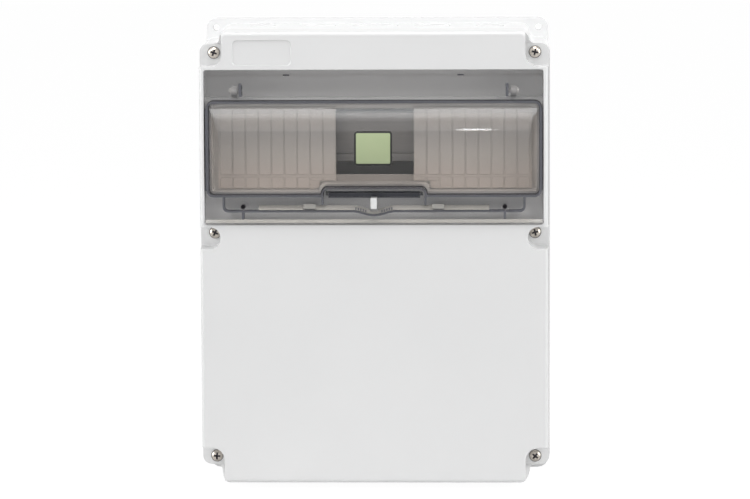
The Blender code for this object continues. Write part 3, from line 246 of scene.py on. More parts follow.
# Painted reflection: a light, mostly opaque finish on the window's up-facing slopes and the clips' fronts
slopeReflectionLook = {
    "dark": (0.335, 0.325, 0.305), "light": (0.388, 0.378, 0.355), "cloudScale": 80.0, "grainScale": 2600.0,
    "grain": 0.15, "roughness": 0.25, "roughSpread": 0.1, "ior": 1.5, "clear": 0.15,
}
recessLook = {
    "dark": (0.037, 0.032, 0.040), "light": (0.072, 0.064, 0.078), "cloudScale": 300.0, "grainScale": 1800.0,
    "grain": 0.1, "roughness": 0.5, "roughSpread": 0.1, "ior": 1.5,
}
labelLook = {
    "dark": (0.35, 0.42, 0.24), "light": (0.40, 0.46, 0.28), "cloudScale": 60.0, "grainScale": 2600.0,
    "grain": 0.03, "roughness": 0.35, "roughSpread": 0.05, "ior": 1.45,
}
borderLook = {**labelLook, "dark": (0.010, 0.010, 0.010), "light": (0.016, 0.016, 0.015), "roughness": 0.4}
nickelLook = {
    "dark": (0.50, 0.46, 0.41), "light": (0.68, 0.63, 0.57), "stretch": (1.0, 1.0, 1.0), "scale": 900.0,
    "roughness": 0.22, "roughSpread": 0.12, "bump": 0.1,
}
# Painted shade: the rail's zinc is darkened, for the shade it lies in inside the box
shadedZincLook = {
    "dark": (0.26, 0.265, 0.275), "light": (0.36, 0.365, 0.375), "stretch": (1.0, 30.0, 30.0), "scale": 40.0,
    "roughness": 0.36, "roughSpread": 0.15, "bump": 0.15,
}
brassLook = {
    "dark": (0.60, 0.43, 0.17), "light": (0.76, 0.58, 0.27), "stretch": (1.0, 25.0, 25.0), "scale": 50.0,
    "roughness": 0.3, "roughSpread": 0.15, "bump": 0.15,
}
casePlastic = mouldedPlastic("casePlastic", caseLook)
basePlastic = mouldedPlastic("basePlastic", litBaseLook)
shadedPlastic = mouldedPlastic("shadedPlastic", shadedLook)
pocketPlastic = mouldedPlastic("pocketPlastic", litPocketLook)
fillerPlastic = mouldedPlastic("fillerPlastic", fillerLook)
gasketRubber = mouldedPlastic("gasketRubber", rubberLook)
supportPlastic = mouldedPlastic("supportPlastic", supportLook)
platePlastic = mouldedPlastic("platePlastic", plateLook)
padEdgeShade = mouldedPlastic("padEdgeShade", padEdgeLook)
sillShade = mouldedPlastic("sillShade", trayShadeLook)
lipShade = mouldedPlastic("lipShade", ledgeShadeLook)
recessShade = mouldedPlastic("recessShade", recessLook)
labelGreen = mouldedPlastic("labelGreen", labelLook)
labelBlack = mouldedPlastic("labelBlack", borderLook)
smokedPane = smokedPlastic("smokedPane", smokedLook)
smokedDome = smokedPlastic("smokedDome", domeLook)
smokedRib = smokedPlastic("smokedRib", ribLook)
ribShade = mouldedPlastic("ribShade", coreLook)
smokedFrost = mouldedPlastic("smokedFrost", slopeReflectionLook)
screwNickel = platedMetal("screwNickel", nickelLook)
railZinc = platedMetal("railZinc", shadedZincLook)
barBrass = platedMetal("barBrass", brassLook)
slotFinish = {
    "case_plastic": casePlastic, "smoked_pane": smokedPane, "filler_plastic": fillerPlastic,
    "gasket_rubber": gasketRubber, "screw_nickel": screwNickel, "rail_zinc": railZinc, "bar_brass": barBrass,
    "support_plastic": supportPlastic,
}
for part in frame["record"]["subparts"]:
    node = nodes[part["node"]]
    node.data.materials.clear()
    node.data.materials.append(slotFinish[part["material_slot"]])
print("materials ready:", len(bpy.data.materials))


flatArea = 0.0015  # a face this large is flat
smoothLimit = radians(33)  # faces that turn less than this run on smoothly
sharpLimit = radians(40)  # edges sharper than this are broken
flatLimit = radians(0.5)  # faces that turn less than this become one
weldGap = 1e-6  # points nearer than this become one


# Each face corner takes the mean normal of the faces that run on smoothly from it, by area
def weightNormals(mesh):
    facing = [(Vector(face.normal), face.area) for face in mesh.polygons]
    around = [[] for vertex in mesh.vertices]
    for face in mesh.polygons:
        for corner in face.vertices:
            around[corner].append(face.index)
    normals = []
    for face in mesh.polygons:
        own = facing[face.index][0]
        if face.area > flatArea:
            normals.extend([own] * len(face.vertices))
            continue
        for corner in face.vertices:
            total = Vector()
            for other in around[corner]:
                normal, area = facing[other]
                if normal.dot(own) > cos(smoothLimit):
                    total += normal * area
            normals.append(total.normalized())
    mesh.shade_smooth()
    mesh.normals_split_custom_set(normals)


def finishPiece(name, bm, materials, body):
    mesh = bpy.data.meshes.new(name)
    bm.to_mesh(mesh)
    bm.free()
    for material in materials:
        mesh.materials.append(material)
    weightNormals(mesh)
    piece = bpy.data.objects.new(name, mesh)
    scene.collection.objects.link(piece)
    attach(piece, body)
    return piece


# A moulding as made: the CAD solid with its sharp edges broken, group by group
def softenedCopy(node, name, groups, materials, body, choose=None):
    bm = bmesh.new()
    bm.from_mesh(nodes[node].data)
    bmesh.ops.remove_doubles(bm, verts=bm.verts, dist=weldGap)
    bmesh.ops.dissolve_limit(bm, angle_limit=flatLimit, verts=bm.verts, edges=bm.edges)
    for group in groups:
        sharp = [
            edge for edge in bm.edges
            if len(edge.link_faces) == 2 and edge.is_convex
            and edge.calc_face_angle() > sharpLimit and edge.calc_length() > group["shortest"]
            and group["only"]((edge.verts[0].co + edge.verts[1].co) / 2)
        ]
        bmesh.ops.bevel(
            bm, geom=sharp, offset=group["edge"], offset_type="OFFSET", affect="EDGES",
            segments=group["segments"], profile=0.5, material=-1, clamp_overlap=group["clamp"],
            loop_slide=True,
        )
    if choose:
        for face in bm.faces:
            face.material_index = choose(face)
    piece = finishPiece(name, bm, materials, body)
    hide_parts(node)


coverFront = -0.100
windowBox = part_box("window_cover")
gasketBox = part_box("window_gasket")
windowHalf = windowBox[1][0]
windowLow = windowBox[0][2]
recessTop = windowBox[1][2]

# Where the rims of the cover lie, each softened by its own amount
rims = {
    "onFace": 0.00002, "nearWindow": 0.0010, "nameplateRise": 0.004, "nameplateHalf": 0.100,
    "pocketX": 0.1035, "cornerPocket": 0.1315, "middlePocket": (0.0055, 0.0222), "pocketDepth": 0.0230,
}


def everywhere(place):
    return True


def onFront(place):
    return abs(place.y - coverFront) < rims["onFace"]


def nameplateRim(place):
    above = place.z > recessTop + rims["nameplateRise"]
    return onFront(place) and above and abs(place.x) < rims["nameplateHalf"]


def recessRim(place):
    near = rims["nearWindow"]
    inHeight = windowLow - near < place.z < recessTop + near
    return onFront(place) and inHeight and abs(place.x) < windowHalf + near


def inPocket(place, depth):
    low, high = rims["middlePocket"]
    inHeight = abs(place.z) > rims["cornerPocket"] or low < place.z < high
    return inHeight and abs(place.x) > rims["pocketX"] and place.y < coverFront + depth


def pocketRim(place):
    return inPocket(place, rims["pocketDepth"])


coverEdges = [
    {"edge": 0.0007, "segments": 4, "shortest": 0.00001, "clamp": False, "only": nameplateRim},
    {"edge": 0.00045, "segments": 4, "shortest": 0.00001, "clamp": False, "only": recessRim},
    {"edge": 0.0007, "segments": 3, "shortest": 0.00001, "clamp": True, "only": pocketRim},
]
baseEdges = [{"edge": 0.0004, "segments": 2, "shortest": 0.0002, "clamp": True, "only": everywhere}]
# Where shade and light are painted on the cover: darker lugs and well wall, lighter pocket floors
shadeAndLight = {
    "lugX": (0.0935, 0.0995), "lugZ": (0.105, 0.125), "lugBehind": 0.004,
    "wallX": 0.0380, "wallZ": (0.0450, 0.0467), "wallBehind": 0.0115, "wallFacing": 0.5,
    "floorDepths": (0.003, 0.0240), "floorFacing": -0.3,
}


# 0 cover, 1 painted shade: the hinge lugs and the lower wall of the well, in the window's shade,
# 2 painted light: the lighter floors of the lower and the middle pockets
def coverFinish(face):
    centre = face.calc_center_median()
    behind = centre.y - coverFront
    shallow, deep = shadeAndLight["floorDepths"]
    if inPocket(centre, deep) and centre.z < recessTop and face.normal.y < shadeAndLight["floorFacing"]:
        return 2 if behind > shallow else 0
    onLug = shadeAndLight["lugX"][0] < abs(centre.x) < shadeAndLight["lugX"][1] and behind > shadeAndLight["lugBehind"]
    if onLug and shadeAndLight["lugZ"][0] < centre.z < shadeAndLight["lugZ"][1]:
        return 1
    onWall = face.normal.z > shadeAndLight["wallFacing"] and abs(centre.x) > shadeAndLight["wallX"]
    inHeight = shadeAndLight["wallZ"][0] < centre.z < shadeAndLight["wallZ"][1]
    return int(onWall and inHeight and behind > shadeAndLight["wallBehind"])


softenedCopy(
    "front_cover", "frontCoverMoulding", coverEdges, [casePlastic, shadedPlastic, pocketPlastic],
    "box", coverFinish,
)
softenedCopy("base_box", "baseMoulding", baseEdges, [basePlastic], "box")

# Blanking plates: one pad for each strip, with a fine shaded line round it
pads = {
    "front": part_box("blanking_plate_left")[0][1], "rise": 0.0004, "rimShare": 0.25, "sideShare": 0.99,
    "facing": -0.9,
}


def padRim(place):
    return place.y < pads["front"] + pads["rise"] * pads["rimShare"]


def padFinish(face):
    raised = face.calc_center_median().y < pads["front"] + pads["rise"] * pads["sideShare"]
    return int(raised and face.normal.y > pads["facing"])


padEdges = [{"edge": 0.0003, "segments": 2, "shortest": 0.00001, "clamp": False, "only": padRim}]
for side in ("left", "right"):
    softenedCopy(
        "blanking_plate_" + side, "plateMoulding" + side.title(), padEdges, [platePlastic, padEdgeShade],
        "box", padFinish,
    )

# Window: the far ends of its ribs look dark, because light crosses their whole depth
windowParts = {
    "paneBack": 0.0030, "hingeRib": (0.0908, 0.0930), "pullTop": 0.0392, "pullHalf": 0.0825,
    "scoopHalf": 0.0362, "scoopTop": 0.0470, "scoopFacing": 0.7, "boss": (0.0865, 0.0950, 0.0322),
    "lipTop": 0.0280, "slope": 0.2, "clip": (0.0400, 0.0486), "clipFoot": 0.0330, "clipUnder": -0.3,
    "dome": (0.0451, 0.1044), "domeRise": 0.0002, "domeFlat": 0.9999, "ribTop": gasketBox[1][2] + 0.001,
}


# 0 pane, 1 dark rib end, and painted shade under the clips, 2 painted reflection: up-facing slopes and the
# clips' fronts, 3 dome
def windowFinish(face):
    look = windowParts
    centre = face.calc_center_median()
    reach = [abs(vertex.co.x) for vertex in face.verts]
    near, far = min(reach), max(reach)
    behind = centre.y - coverFront
    sloping = face.normal.y < -look["slope"] and face.normal.z > look["slope"]
    if centre.z < look["lipTop"]:
        return 2 if sloping else 0
    if centre.z < look["pullTop"] and far < look["pullHalf"] and behind < look["paneBack"]:
        onClip = look["clip"][0] < near and far < look["clip"][1] and centre.z > look["clipFoot"]
        # Painted shade: the clips' undersides take the dark rib finish
        if onClip and face.normal.z < look["clipUnder"]:
            return 1
        return 2 if sloping or (onClip and behind < 0.0) else 0
    if behind < look["paneBack"]:
        onDome = look["dome"][0] < centre.z < look["dome"][1] and abs(face.normal.y) < look["domeFlat"]
        return 3 if behind < -look["domeRise"] or onDome else 0
    if centre.z > look["ribTop"]:
        return int(look["hingeRib"][0] < near and far < look["hingeRib"][1])
    if far < look["pullHalf"] and centre.z < look["pullTop"]:
        return 0
    inScoop = far < look["scoopHalf"] and centre.z < look["scoopTop"]
    if inScoop and abs(face.normal.y) > look["scoopFacing"]:
        return 0
    if look["boss"][0] < near and far < look["boss"][1] and centre.z > look["boss"][2]:
        return 0
    return 1


windowEdges = [{"edge": 0.00025, "segments": 2, "shortest": 0.0004, "clamp": True, "only": everywhere}]
softenedCopy(
    "window_cover", "windowMoulding", windowEdges, [smokedPane, smokedRib, smokedFrost, smokedDome],
    "window", windowFinish,
)
print("mouldings softened")


# Cover screws: turned pan heads with a tapered cross recess
screwLook = {
    "profile": [
        (0.0, 0.0), (0.0014, 0.00005), (0.0024, 0.00025), (0.0032, 0.0007), (0.0038, 0.0014),
        (0.0040, 0.0021), (0.0040, 0.0026), (0.0020, 0.0026), (0.0020, 0.0244), (0.0016, 0.0246),
        (0.0, 0.0246),
    ],
    "headDepth": 0.0026, "steps": 40, "arm": 0.0034, "slim": 0.00095, "depth": 0.0018, "taper": 0.45,
    "turns": {
        "top_left": 20, "top_right": 12, "middle_left": 28, "middle_right": -15,
        "bottom_left": 4, "bottom_right": 38,
    },
}
screwNodes = [name for name in nodes if name.startswith("cover_screw")]


def screwPlace(node):
    low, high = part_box(node)
    return (low[0] + high[0]) / 2, low[1], (low[2] + high[2]) / 2


# Turns a profile of radius and depth about the axis that runs back from (x, front, z)
def turnProfile(bm, look, x, front, z, closed=False):
    line = [bm.verts.new((x + radius, front + back, z)) for radius, back in look["profile"]]
    ends = line[1:] + line[:1] if closed else line[1:]
    edges = [bm.edges.new(pair) for pair in zip(line, ends)]
    bmesh.ops.spin(
        bm, geom=line + edges, cent=(x, 0.0, z), axis=(0.0, 1.0, 0.0), angle=2 * pi,
        steps=look["steps"], use_merge=True,
    )


def weld(bm):
    bmesh.ops.remove_doubles(bm, verts=bm.verts, dist=weldGap)
    bmesh.ops.recalc_face_normals(bm, faces=bm.faces)


def screwSolid(x, front, z):
    bm = bmesh.new()
    turnProfile(bm, screwLook, x, front, z)
    weld(bm)
    return bm


def crossSolid(x, front, z, angle):
    bm = bmesh.new()
    for width, height in ((screwLook["arm"], screwLook["slim"]), (screwLook["slim"], screwLook["arm"])):
        made = bmesh.ops.create_cube(bm, size=2.0)["verts"]
        bmesh.ops.scale(bm, verts=made, vec=(width, screwLook["depth"], height))
        inner = [vertex for vertex in made if vertex.co.y > 0]
        bmesh.ops.scale(bm, verts=inner, vec=(screwLook["taper"], 1.0, screwLook["taper"]))
    bmesh.ops.rotate(bm, verts=bm.verts, matrix=Matrix.Rotation(angle, 3, "Y"))
    bmesh.ops.translate(bm, verts=bm.verts, vec=(x, front, z))
    return bm


def temporary(name, bm, material):
    mesh = bpy.data.meshes.new(name)
    bm.to_mesh(mesh)
    bm.free()
    mesh.materials.append(material)
    holder = bpy.data.objects.new(name, mesh)
    scene.collection.objects.link(holder)
    return holder


for node in screwNodes:
    place = screwPlace(node)
    blank = temporary("screwBlank", screwSolid(*place), screwNickel)
    where = node.replace("cover_screw_", "")
    # The cross recess takes the dark recessShade: painted shade in the recess
    cross = temporary("screwCross", crossSolid(*place, radians(screwLook["turns"][where])), recessShade)
    carve = blank.modifiers.new("carve", "BOOLEAN")
    carve.object = cross
    carve.solver = "EXACT"
    carve.use_self = True
    carve.material_mode = "TRANSFER"
    carved = bpy.data.meshes.new_from_object(blank.evaluated_get(bpy.context.evaluated_depsgraph_get()))
    bm = bmesh.new()
    bm.from_mesh(carved)
    for spare in (blank, cross):
        bpy.data.objects.remove(spare)
    name = "screw" + where.replace("_", " ").title().replace(" ", "")
    screw = finishPiece(name, bm, [screwNickel, recessShade], "box")
    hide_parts(node)
print("screws turned")


# Blank label on the dome
label = {
    "width": 0.0260, "height": 0.0235, "z": 0.0773, "round": 0.0022, "roundSteps": 6, "border": 0.0013,
    "lift": 0.00012, "thick": 0.0001, "rows": 16,
    "domeTop": 0.1039, "domeBottom": 0.0456, "domeHeight": 0.0110,
}
halfChord = (label["domeTop"] - label["domeBottom"]) / 2
domeRadius = (halfChord ** 2 + label["domeHeight"] ** 2) / (2 * label["domeHeight"])
domeMiddle = (label["domeTop"] + label["domeBottom"]) / 2


def domeFront(z):
    sink = domeRadius - sqrt(domeRadius ** 2 - (z - domeMiddle) ** 2)
    return coverFront - label["domeHeight"] + sink


def labelPlate(name, inset, lift, material):
    bm = bmesh.new()
    bmesh.ops.create_grid(bm, x_segments=1, y_segments=1, size=0.5)
    width, height = label["width"] - 2 * inset, label["height"] - 2 * inset
    bmesh.ops.scale(bm, verts=bm.verts, vec=(width, height, 1.0))
    bmesh.ops.rotate(bm, verts=bm.verts, matrix=Matrix.Rotation(pi / 2, 3, "X"))
    bmesh.ops.bevel(
        bm, geom=bm.verts[:], offset=label["round"] - inset, affect="VERTICES", segments=label["roundSteps"],
        profile=0.5, material=-1,
    )
    bmesh.ops.translate(bm, verts=bm.verts, vec=(0.0, 0.0, label["z"]))
    for row in range(1, label["rows"]):
        z = label["z"] + height * (row / label["rows"] - 0.5)
        geometry = bm.verts[:] + bm.edges[:] + bm.faces[:]
        bmesh.ops.bisect_plane(bm, geom=geometry, plane_co=(0.0, 0.0, z), plane_no=(0.0, 0.0, 1.0))
    for vertex in bm.verts:
        vertex.co.y = domeFront(vertex.co.z) - lift
    bmesh.ops.solidify(bm, geom=bm.faces[:], thickness=label["thick"])
    bmesh.ops.recalc_face_normals(bm, faces=bm.faces)
    finishPiece(name, bm, [material], "window")


labelPlate("labelBorder", 0.0, label["lift"], labelBlack)
labelPlate("labelFace", label["border"], label["lift"] * 2, labelGreen)

# Painted shade: two short dark pieces in the rolled top of the window, standing for two slots
rollSlotShade = {"x": 0.0600, "size": (0.0044, 0.0004, 0.0009), "angle": radians(52.5), "radius": 0.0145}
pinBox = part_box("hinge_pin_left")
axle = [(pinBox[0][i] + pinBox[1][i]) / 2 for i in range(3)]
for side in (-1, 1):
    bm = bmesh.new()
    bmesh.ops.create_cube(bm, size=1.0)
    bmesh.ops.scale(bm, verts=bm.verts, vec=rollSlotShade["size"])
    bmesh.ops.translate(bm, verts=bm.verts, vec=(side * rollSlotShade["x"], -rollSlotShade["radius"], 0.0))
    bmesh.ops.rotate(bm, verts=bm.verts, matrix=Matrix.Rotation(-rollSlotShade["angle"], 3, "X"))
    bmesh.ops.translate(bm, verts=bm.verts, vec=(0.0, axle[1], axle[2]))
    finishPiece("rollSlotLeft" if side < 0 else "rollSlotRight", bm, [smokedRib], "window")
print("label and slots placed")


# Dark cores in the window's ribs: smoked plastic seen edge on lets little light through.
# Painted shade with them: dark blocks along the window's side edges and behind the scoop's slot
ribs = {
    "front": 0.0006, "inset": 0.0002, "wall": 0.0016, "steps": 6, "gasketOverhang": 0.0002,
    "skirtEnd": 0.0094, "skirtRound": 0.0046, "jogHalf": 0.0351, "jogRise": 0.0053, "jogRound": 0.0042,
    "chamberEnd": 0.0068, "chamberHalf": windowHalf - 0.0116, "chamberLow": windowLow + 0.00755,
    "chamberRound": 0.0038, "bow": 0.0028, "bowHalf": 0.0148, "bowSteps": 24,
    "leg": (0.0348, 0.0362), "legFoot": 0.0372, "legEnd": 0.0075,
    "footX": windowHalf - 0.0259, "footLow": windowLow + 0.0030, "footEnd": 0.0064,
    "hingeX": windowHalf - 0.0243, "hingeHalf": 0.0008, "hingeZ": (0.1121, 0.1211), "hingeEnd": 0.0040,
    "sideEnd": 0.0020, "slotHalf": 0.0318, "slotZ": (0.0412, 0.0448), "slotDepth": (0.0094, 0.0098),
}


def bowAt(x):
    if abs(x) >= ribs["bowHalf"]:
        return 0.0
    return ribs["bow"] * (1 + cos(pi * x / ribs["bowHalf"])) / 2


# Flat ring inside an outline of (x, z, corner radius), given its depth; cutTop leaves its upper side open
def coreRing(bm, corners, front, end, wall, cutTop=None):
    before = set(bm.faces)
    made = [bm.verts.new((x, coverFront + front, z)) for x, z, turn in corners]
    bm.faces.new(made)
    for radius in sorted({turn for x, z, turn in corners if turn}):
        group = [vertex for vertex, corner in zip(made, corners) if corner[2] == radius]
        bmesh.ops.bevel(
            bm, geom=group, offset=radius, affect="VERTICES", segments=ribs["steps"], profile=0.5, material=-1
        )
    middle = [face for face in bm.faces if face not in before]
    bmesh.ops.inset_region(
        bm, faces=middle, thickness=wall, use_even_offset=True, use_boundary=True
    )
    bmesh.ops.delete(bm, geom=middle, context="FACES_ONLY")
    if cutTop:
        loose = [face for face in bm.faces if face not in before]
        geometry = dict.fromkeys(part for face in loose for part in (face, *face.edges, *face.verts))
        bmesh.ops.bisect_plane(
            bm, geom=list(geometry), plane_co=(0.0, 0.0, cutTop), plane_no=(0.0, 0.0, 1.0), clear_outer=True
        )
    flat = [face for face in bm.faces if face not in before]
    moved = bmesh.ops.extrude_face_region(bm, geom=flat, use_keep_orig=True)["geom"]
    rear = [part for part in moved if isinstance(part, bmesh.types.BMVert)]
    bmesh.ops.translate(bm, verts=rear, vec=(0.0, end - front, 0.0))


# Block between two corners, its depths counted back from the cover's front
def coreBlock(bm, across, depths, heights):
    made = bmesh.ops.create_cube(bm, size=1.0)["verts"]
    spans = (across, depths, heights)
    bmesh.ops.scale(bm, verts=made, vec=[span[1] - span[0] for span in spans])
    middle = Vector([(span[0] + span[1]) / 2 for span in spans])
    bmesh.ops.translate(bm, verts=made, vec=middle + Vector((0.0, coverFront, 0.0)))


def bothSides(middle, half):
    return middle - half, middle + half


skirtHalf = gasketBox[1][0] - ribs["gasketOverhang"]
skirtTop = gasketBox[1][2] - ribs["gasketOverhang"]
skirtLow = gasketBox[0][2] + ribs["gasketOverhang"]


# The skirt's outline moved inwards, with its step over the finger pull
def skirtOutline(inset, turn):
    half = skirtHalf - inset
    top = skirtTop - inset
    low = skirtLow + inset
    jog = ribs["jogHalf"] + ribs["inset"]
    shoulder = low + ribs["jogRise"]
    sweep = ribs["jogRound"]
    return [
        (half, top, turn), (-half, top, turn), (-half, low, turn), (-jog, low, 0.0),
        (-jog, shoulder, sweep), (jog, shoulder, sweep), (jog, low, 0.0), (half, low, turn),
    ]


coreWall = ribs["wall"] - 2 * ribs["inset"]
skirt = skirtOutline(ribs["inset"], ribs["skirtRound"])
bm = bmesh.new()
coreRing(bm, skirt, ribs["front"], ribs["skirtEnd"], coreWall)
half = ribs["chamberHalf"] - ribs["inset"]
base = ribs["chamberLow"] + ribs["inset"]
bowed = [ribs["bowHalf"] * (2 * step / ribs["bowSteps"] - 1) for step in range(ribs["bowSteps"] + 1)]
chamber = [(half, skirtTop, 0.0), (-half, skirtTop, 0.0), (-half, base, ribs["chamberRound"])]
chamber.extend((x, base - bowAt(x), 0.0) for x in bowed)
chamber.append((half, base, ribs["chamberRound"]))
coreRing(bm, chamber, ribs["front"], ribs["chamberEnd"], coreWall, cutTop=skirtLow + ribs["inset"] / 2)
foot = skirtLow + ribs["inset"]
head = skirtTop - ribs["inset"]
for side in (-1, 1):
    leg = sorted(side * x for x in ribs["leg"])
    coreBlock(bm, leg, (ribs["front"], ribs["legEnd"]), (ribs["legFoot"], foot))
    post = bothSides(side * ribs["footX"], ribs["wall"] / 2)
    coreBlock(bm, post, (ribs["front"], ribs["footEnd"]), (ribs["footLow"], base))
    hinge = bothSides(side * ribs["hingeX"], ribs["hingeHalf"])
    coreBlock(bm, hinge, (ribs["front"], ribs["hingeEnd"]), ribs["hingeZ"])
    # Painted shade: a dark block between the skirt and each side edge of the window, for the gap's shade
    edge = sorted((side * (skirtHalf - ribs["inset"]), side * (windowHalf - ribs["inset"] / 2)))
    heights = (foot + ribs["skirtRound"], head - ribs["skirtRound"])
    coreBlock(bm, edge, (ribs["front"], ribs["sideEnd"]), heights)
# Painted shade: a dark plate behind the scoop's slot, where there is only a dark gap
coreBlock(bm, (-ribs["slotHalf"], ribs["slotHalf"]), ribs["slotDepth"], ribs["slotZ"])
bmesh.ops.recalc_face_normals(bm, faces=bm.faces)
finishPiece("ribCores", bm, [ribShade], "window")

# Painted shade: a grey sheet on the ledge inside the skirt darkens part of it
ledgeShadeSheet = {"gap": 0.0018, "wall": 0.0013, "thick": 0.0001, "ledge": gasketBox[1][1] - coverFront}
rim = skirtOutline(ledgeShadeSheet["gap"], ribs["skirtRound"] - ledgeShadeSheet["gap"])
bm = bmesh.new()
coreRing(bm, rim, ledgeShadeSheet["ledge"] - ledgeShadeSheet["thick"], ledgeShadeSheet["ledge"], ledgeShadeSheet["wall"])
bmesh.ops.recalc_face_normals(bm, faces=bm.faces)
finishPiece("sealLip", bm, [lipShade], "box")

# Painted shade: a darker sheet on the tray floor below the open strips
trayShadeSheet = {"half": 0.0268, "depths": (0.0293, 0.02948), "heights": (0.0511, 0.0554)}
bm = bmesh.new()
coreBlock(bm, (-trayShadeSheet["half"], trayShadeSheet["half"]), trayShadeSheet["depths"], trayShadeSheet["heights"])
finishPiece("openSill", bm, [sillShade], "box")

# Painted shade: a dark ring round each screw head, on the floor of its pocket, for the shade of the gap
gapShadeRing = {"profile": [(0.00405, 0.0), (0.0043, 0.0), (0.0043, 0.00008), (0.00405, 0.00008)], "steps": 40}
bm = bmesh.new()
for node in screwNodes:
    x, front, z = screwPlace(node)
    turnProfile(bm, gapShadeRing, x, front + screwLook["headDepth"], z, closed=True)
weld(bm)
finishPiece("screwRings", bm, [recessShade], "box")

# Painted shade: the seal holes look dark, by a dark turned tube with a floor in each
sealHoleShade = {
    "profile": [
        (0.0, 0.0066), (0.00155, 0.0066), (0.00155, 0.0004),
        (0.00140, 0.0004), (0.00140, 0.0060), (0.0, 0.0060),
    ],
    "steps": 24, "z": windowLow + 0.01155,
}
bm = bmesh.new()
for side in (-1, 1):
    turnProfile(bm, sealHoleShade, side * ribs["footX"], coverFront, sealHoleShade["z"])
weld(bm)
finishPiece("sealHoleLinings", bm, [recessShade], "window")

# Small grip ticks on the slope of the finger pull, either side of the eye; their dark colour is painted shade
ticks = {
    "first": 0.0056, "pitch": 0.0017, "count": 5, "size": (0.0009, 0.0006, 0.0020), "edge": 0.0001,
    "back": 0.0009, "pullLow": windowLow + 0.00955,
}
bm = bmesh.new()
for side in (-1, 1):
    for number in range(ticks["count"]):
        x = side * (ticks["first"] + number * ticks["pitch"])
        z = ticks["pullLow"] + ticks["back"] - bowAt(x)
        made = bmesh.ops.create_cube(bm, size=1.0)["verts"]
        bmesh.ops.scale(bm, verts=made, vec=ticks["size"])
        bmesh.ops.rotate(bm, verts=made, matrix=Matrix.Rotation(-pi / 4, 3, "X"))
        bmesh.ops.translate(bm, verts=made, vec=(x, coverFront + ticks["back"], z))
bmesh.ops.bevel(
    bm, geom=bm.edges[:], offset=ticks["edge"], affect="EDGES", segments=2, profile=0.5, material=-1,
    clamp_overlap=True,
)
finishPiece("gripTicks", bm, [ribShade], "window")
print("rib cores, seal holes and grip ticks placed")


# Camera at the photograph's viewing angle
view = {
    "place": (0.0926, -3.0089, 0.3380), "pitch": 6.50, "yaw": 1.81, "roll": -0.271,
    "lens": 203.76, "sensor": 36.0, "reach": 50.0,
}
pitch, yaw, roll = (radians(view[key]) for key in ("pitch", "yaw", "roll"))
forward = Vector((-sin(yaw) * cos(pitch), cos(yaw) * cos(pitch), -sin(pitch)))
right = Vector((cos(yaw), sin(yaw), 0.0))
up = right.cross(forward)
acrossAxis = right * cos(roll) + up * sin(roll)
upAxis = up * cos(roll) - right * sin(roll)
cameraData = bpy.data.cameras.new("photoCamera")
cameraData.sensor_width = view["sensor"]
cameraData.lens = view["lens"]
cameraData.clip_end = view["reach"]
camera = bpy.data.objects.new("photoCamera", cameraData)
turn = Matrix((acrossAxis, upAxis, -forward)).transposed().to_4x4()
camera.matrix_world = Matrix.Translation(view["place"]) @ turn
scene.collection.objects.link(camera)
scene.camera = camera


# Pale table top, white for the camera, with the object's soft shadow left on it
stage = {
    "z": -0.1612, "width": 8.0, "front": -0.96, "back": 6.0, "colour": (0.80, 0.80, 0.80),
    "whiteShare": 0.9, "white": 1.08,
}
bm = bmesh.new()
bmesh.ops.create_grid(bm, x_segments=1, y_segments=1, size=0.5)
length = stage["back"] - stage["front"]
bmesh.ops.scale(bm, verts=bm.verts, vec=(stage["width"], length, 1.0))
bmesh.ops.translate(bm, verts=bm.verts, vec=(0.0, stage["front"] + length / 2, stage["z"]))
floorMesh = bpy.data.meshes.new("floor")
bm.to_mesh(floorMesh)
bm.free()
floor = bpy.data.objects.new("floor", floorMesh)
scene.collection.objects.link(floor)
floorPaint, graph = newMaterial("floorPaint")
paint = graph.add("ShaderNodeBsdfDiffuse", {}, {"Color": opaque(stage["colour"])})
pureWhite = opaque((1.0, 1.0, 1.0))
white = graph.add("ShaderNodeEmission", {}, {"Color": pureWhite, "Strength": stage["white"]})
seen = graph.add("ShaderNodeLightPath", output="Is Camera Ray")
passed = graph.add("ShaderNodeLightPath", output="Is Transmission Ray")
graph.surface(mixShaders(graph, (seen + passed) * stage["whiteShare"], paint, white))
floorMesh.materials.append(floorPaint)

# World: white behind the object and in its reflections, softer as a light
sky = {"fill": 0.24}
world = bpy.data.worlds.new("studio")
world.use_nodes = True
world.node_tree.nodes.clear()
graph = Graph(world.node_tree)
seen = graph.add("ShaderNodeLightPath", output="Is Camera Ray")
mirrored = graph.add("ShaderNodeLightPath", output="Is Glossy Ray")
passed = graph.add("ShaderNodeLightPath", output="Is Transmission Ray")
strength = sky["fill"] + (seen + mirrored + passed) * (1.0 - sky["fill"])
background = graph.add("ShaderNodeBackground", {}, {"Color": pureWhite, "Strength": strength})
graph.surface(background, "ShaderNodeOutputWorld")
scene.world = world


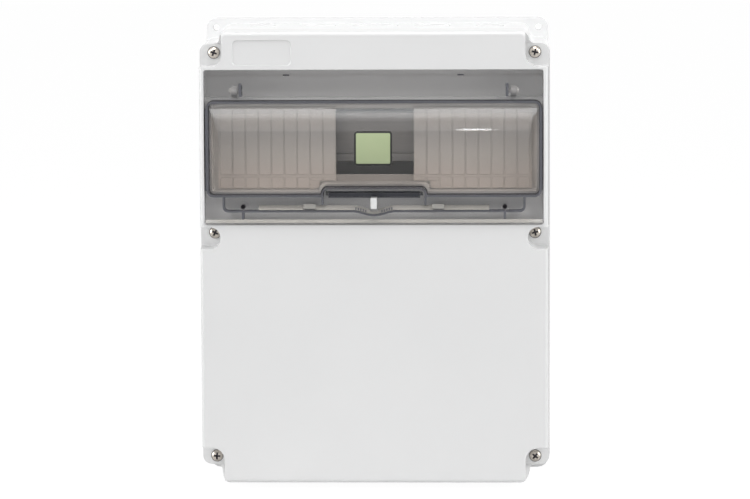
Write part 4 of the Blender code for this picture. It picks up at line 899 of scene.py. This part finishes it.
# Softboxes in strips: fade gives the brightness of the first and the last strip, whatever their size;
# a mirrorOnly box shows in glossy surfaces and lights no matt one
softboxes = {
    "topSoftbox": {
        "place": (0.0, -0.30, 1.70), "aim": (0.0, -0.30, 0.0), "size": (0.85, 0.5),
        "strips": 1, "fade": (6.4, 6.4),
    },
    "topFade": {
        "place": (0.0, -0.95, 1.70), "aim": (0.0, -0.95, 0.0), "size": (0.85, 0.8),
        "strips": 6, "fade": (0.3, 6.4),
    },
    "frontLeftSoftbox": {
        "place": (-1.10, -1.30, 1.20), "aim": (0.0, -0.1, 0.0), "size": (0.8, 0.8),
        "strips": 1, "fade": (4.15, 4.15),
    },
    "frontRightSoftbox": {
        "place": (1.10, -1.30, 1.20), "aim": (0.0, -0.1, 0.0), "size": (0.8, 0.8),
        "strips": 1, "fade": (3.95, 3.95),
    },
    "leftSoftbox": {
        "place": (-1.60, -0.30, 0.30), "aim": (0.0, -0.05, 0.0), "size": (1.2, 1.2),
        "strips": 1, "fade": (2.9, 2.9),
    },
    "rightSoftbox": {
        "place": (1.60, -0.30, 0.30), "aim": (0.0, -0.05, 0.0), "size": (1.2, 1.2),
        "strips": 1, "fade": (2.8, 2.8),
    },
    "stripLamp": {
        "place": (0.0585, -1.34, 0.99), "aim": (0.0585, -0.1, 0.08), "size": (0.030, 0.055),
        "strips": 1, "fade": (22.0, 22.0),
    },
    "domeSheen": {
        "place": (0.0, -1.36, 1.345), "aim": (0.0, -0.1, 0.08), "size": (1.1, 0.72),
        "strips": 1, "fade": (0.85, 0.85), "mirrorOnly": True,
    },
}
for name, box in softboxes.items():
    turn = (Vector(box["aim"]) - Vector(box["place"])).to_track_quat("-Z", "Y")
    height = box["size"][1] / box["strips"]
    for strip in range(box["strips"]):
        share = strip / max(box["strips"] - 1, 1)
        brightness = box["fade"][0] * (1 - share) + box["fade"][1] * share
        lamp = bpy.data.lights.new(name, "AREA")
        lamp.shape = "RECTANGLE"
        lamp.size, lamp.size_y = box["size"][0], height
        lamp.energy = brightness * pi * box["size"][0] * height
        holder = bpy.data.objects.new(name, lamp)
        rise = height * (strip + 0.5) - box["size"][1] / 2
        holder.location = Vector(box["place"]) + turn @ Vector((0.0, rise, 0.0))
        holder.rotation_euler = turn.to_euler()
        holder.visible_camera = False
        holder.visible_diffuse = not box.get("mirrorOnly", False)
        scene.collection.objects.link(holder)
print("camera, floor and lights set")
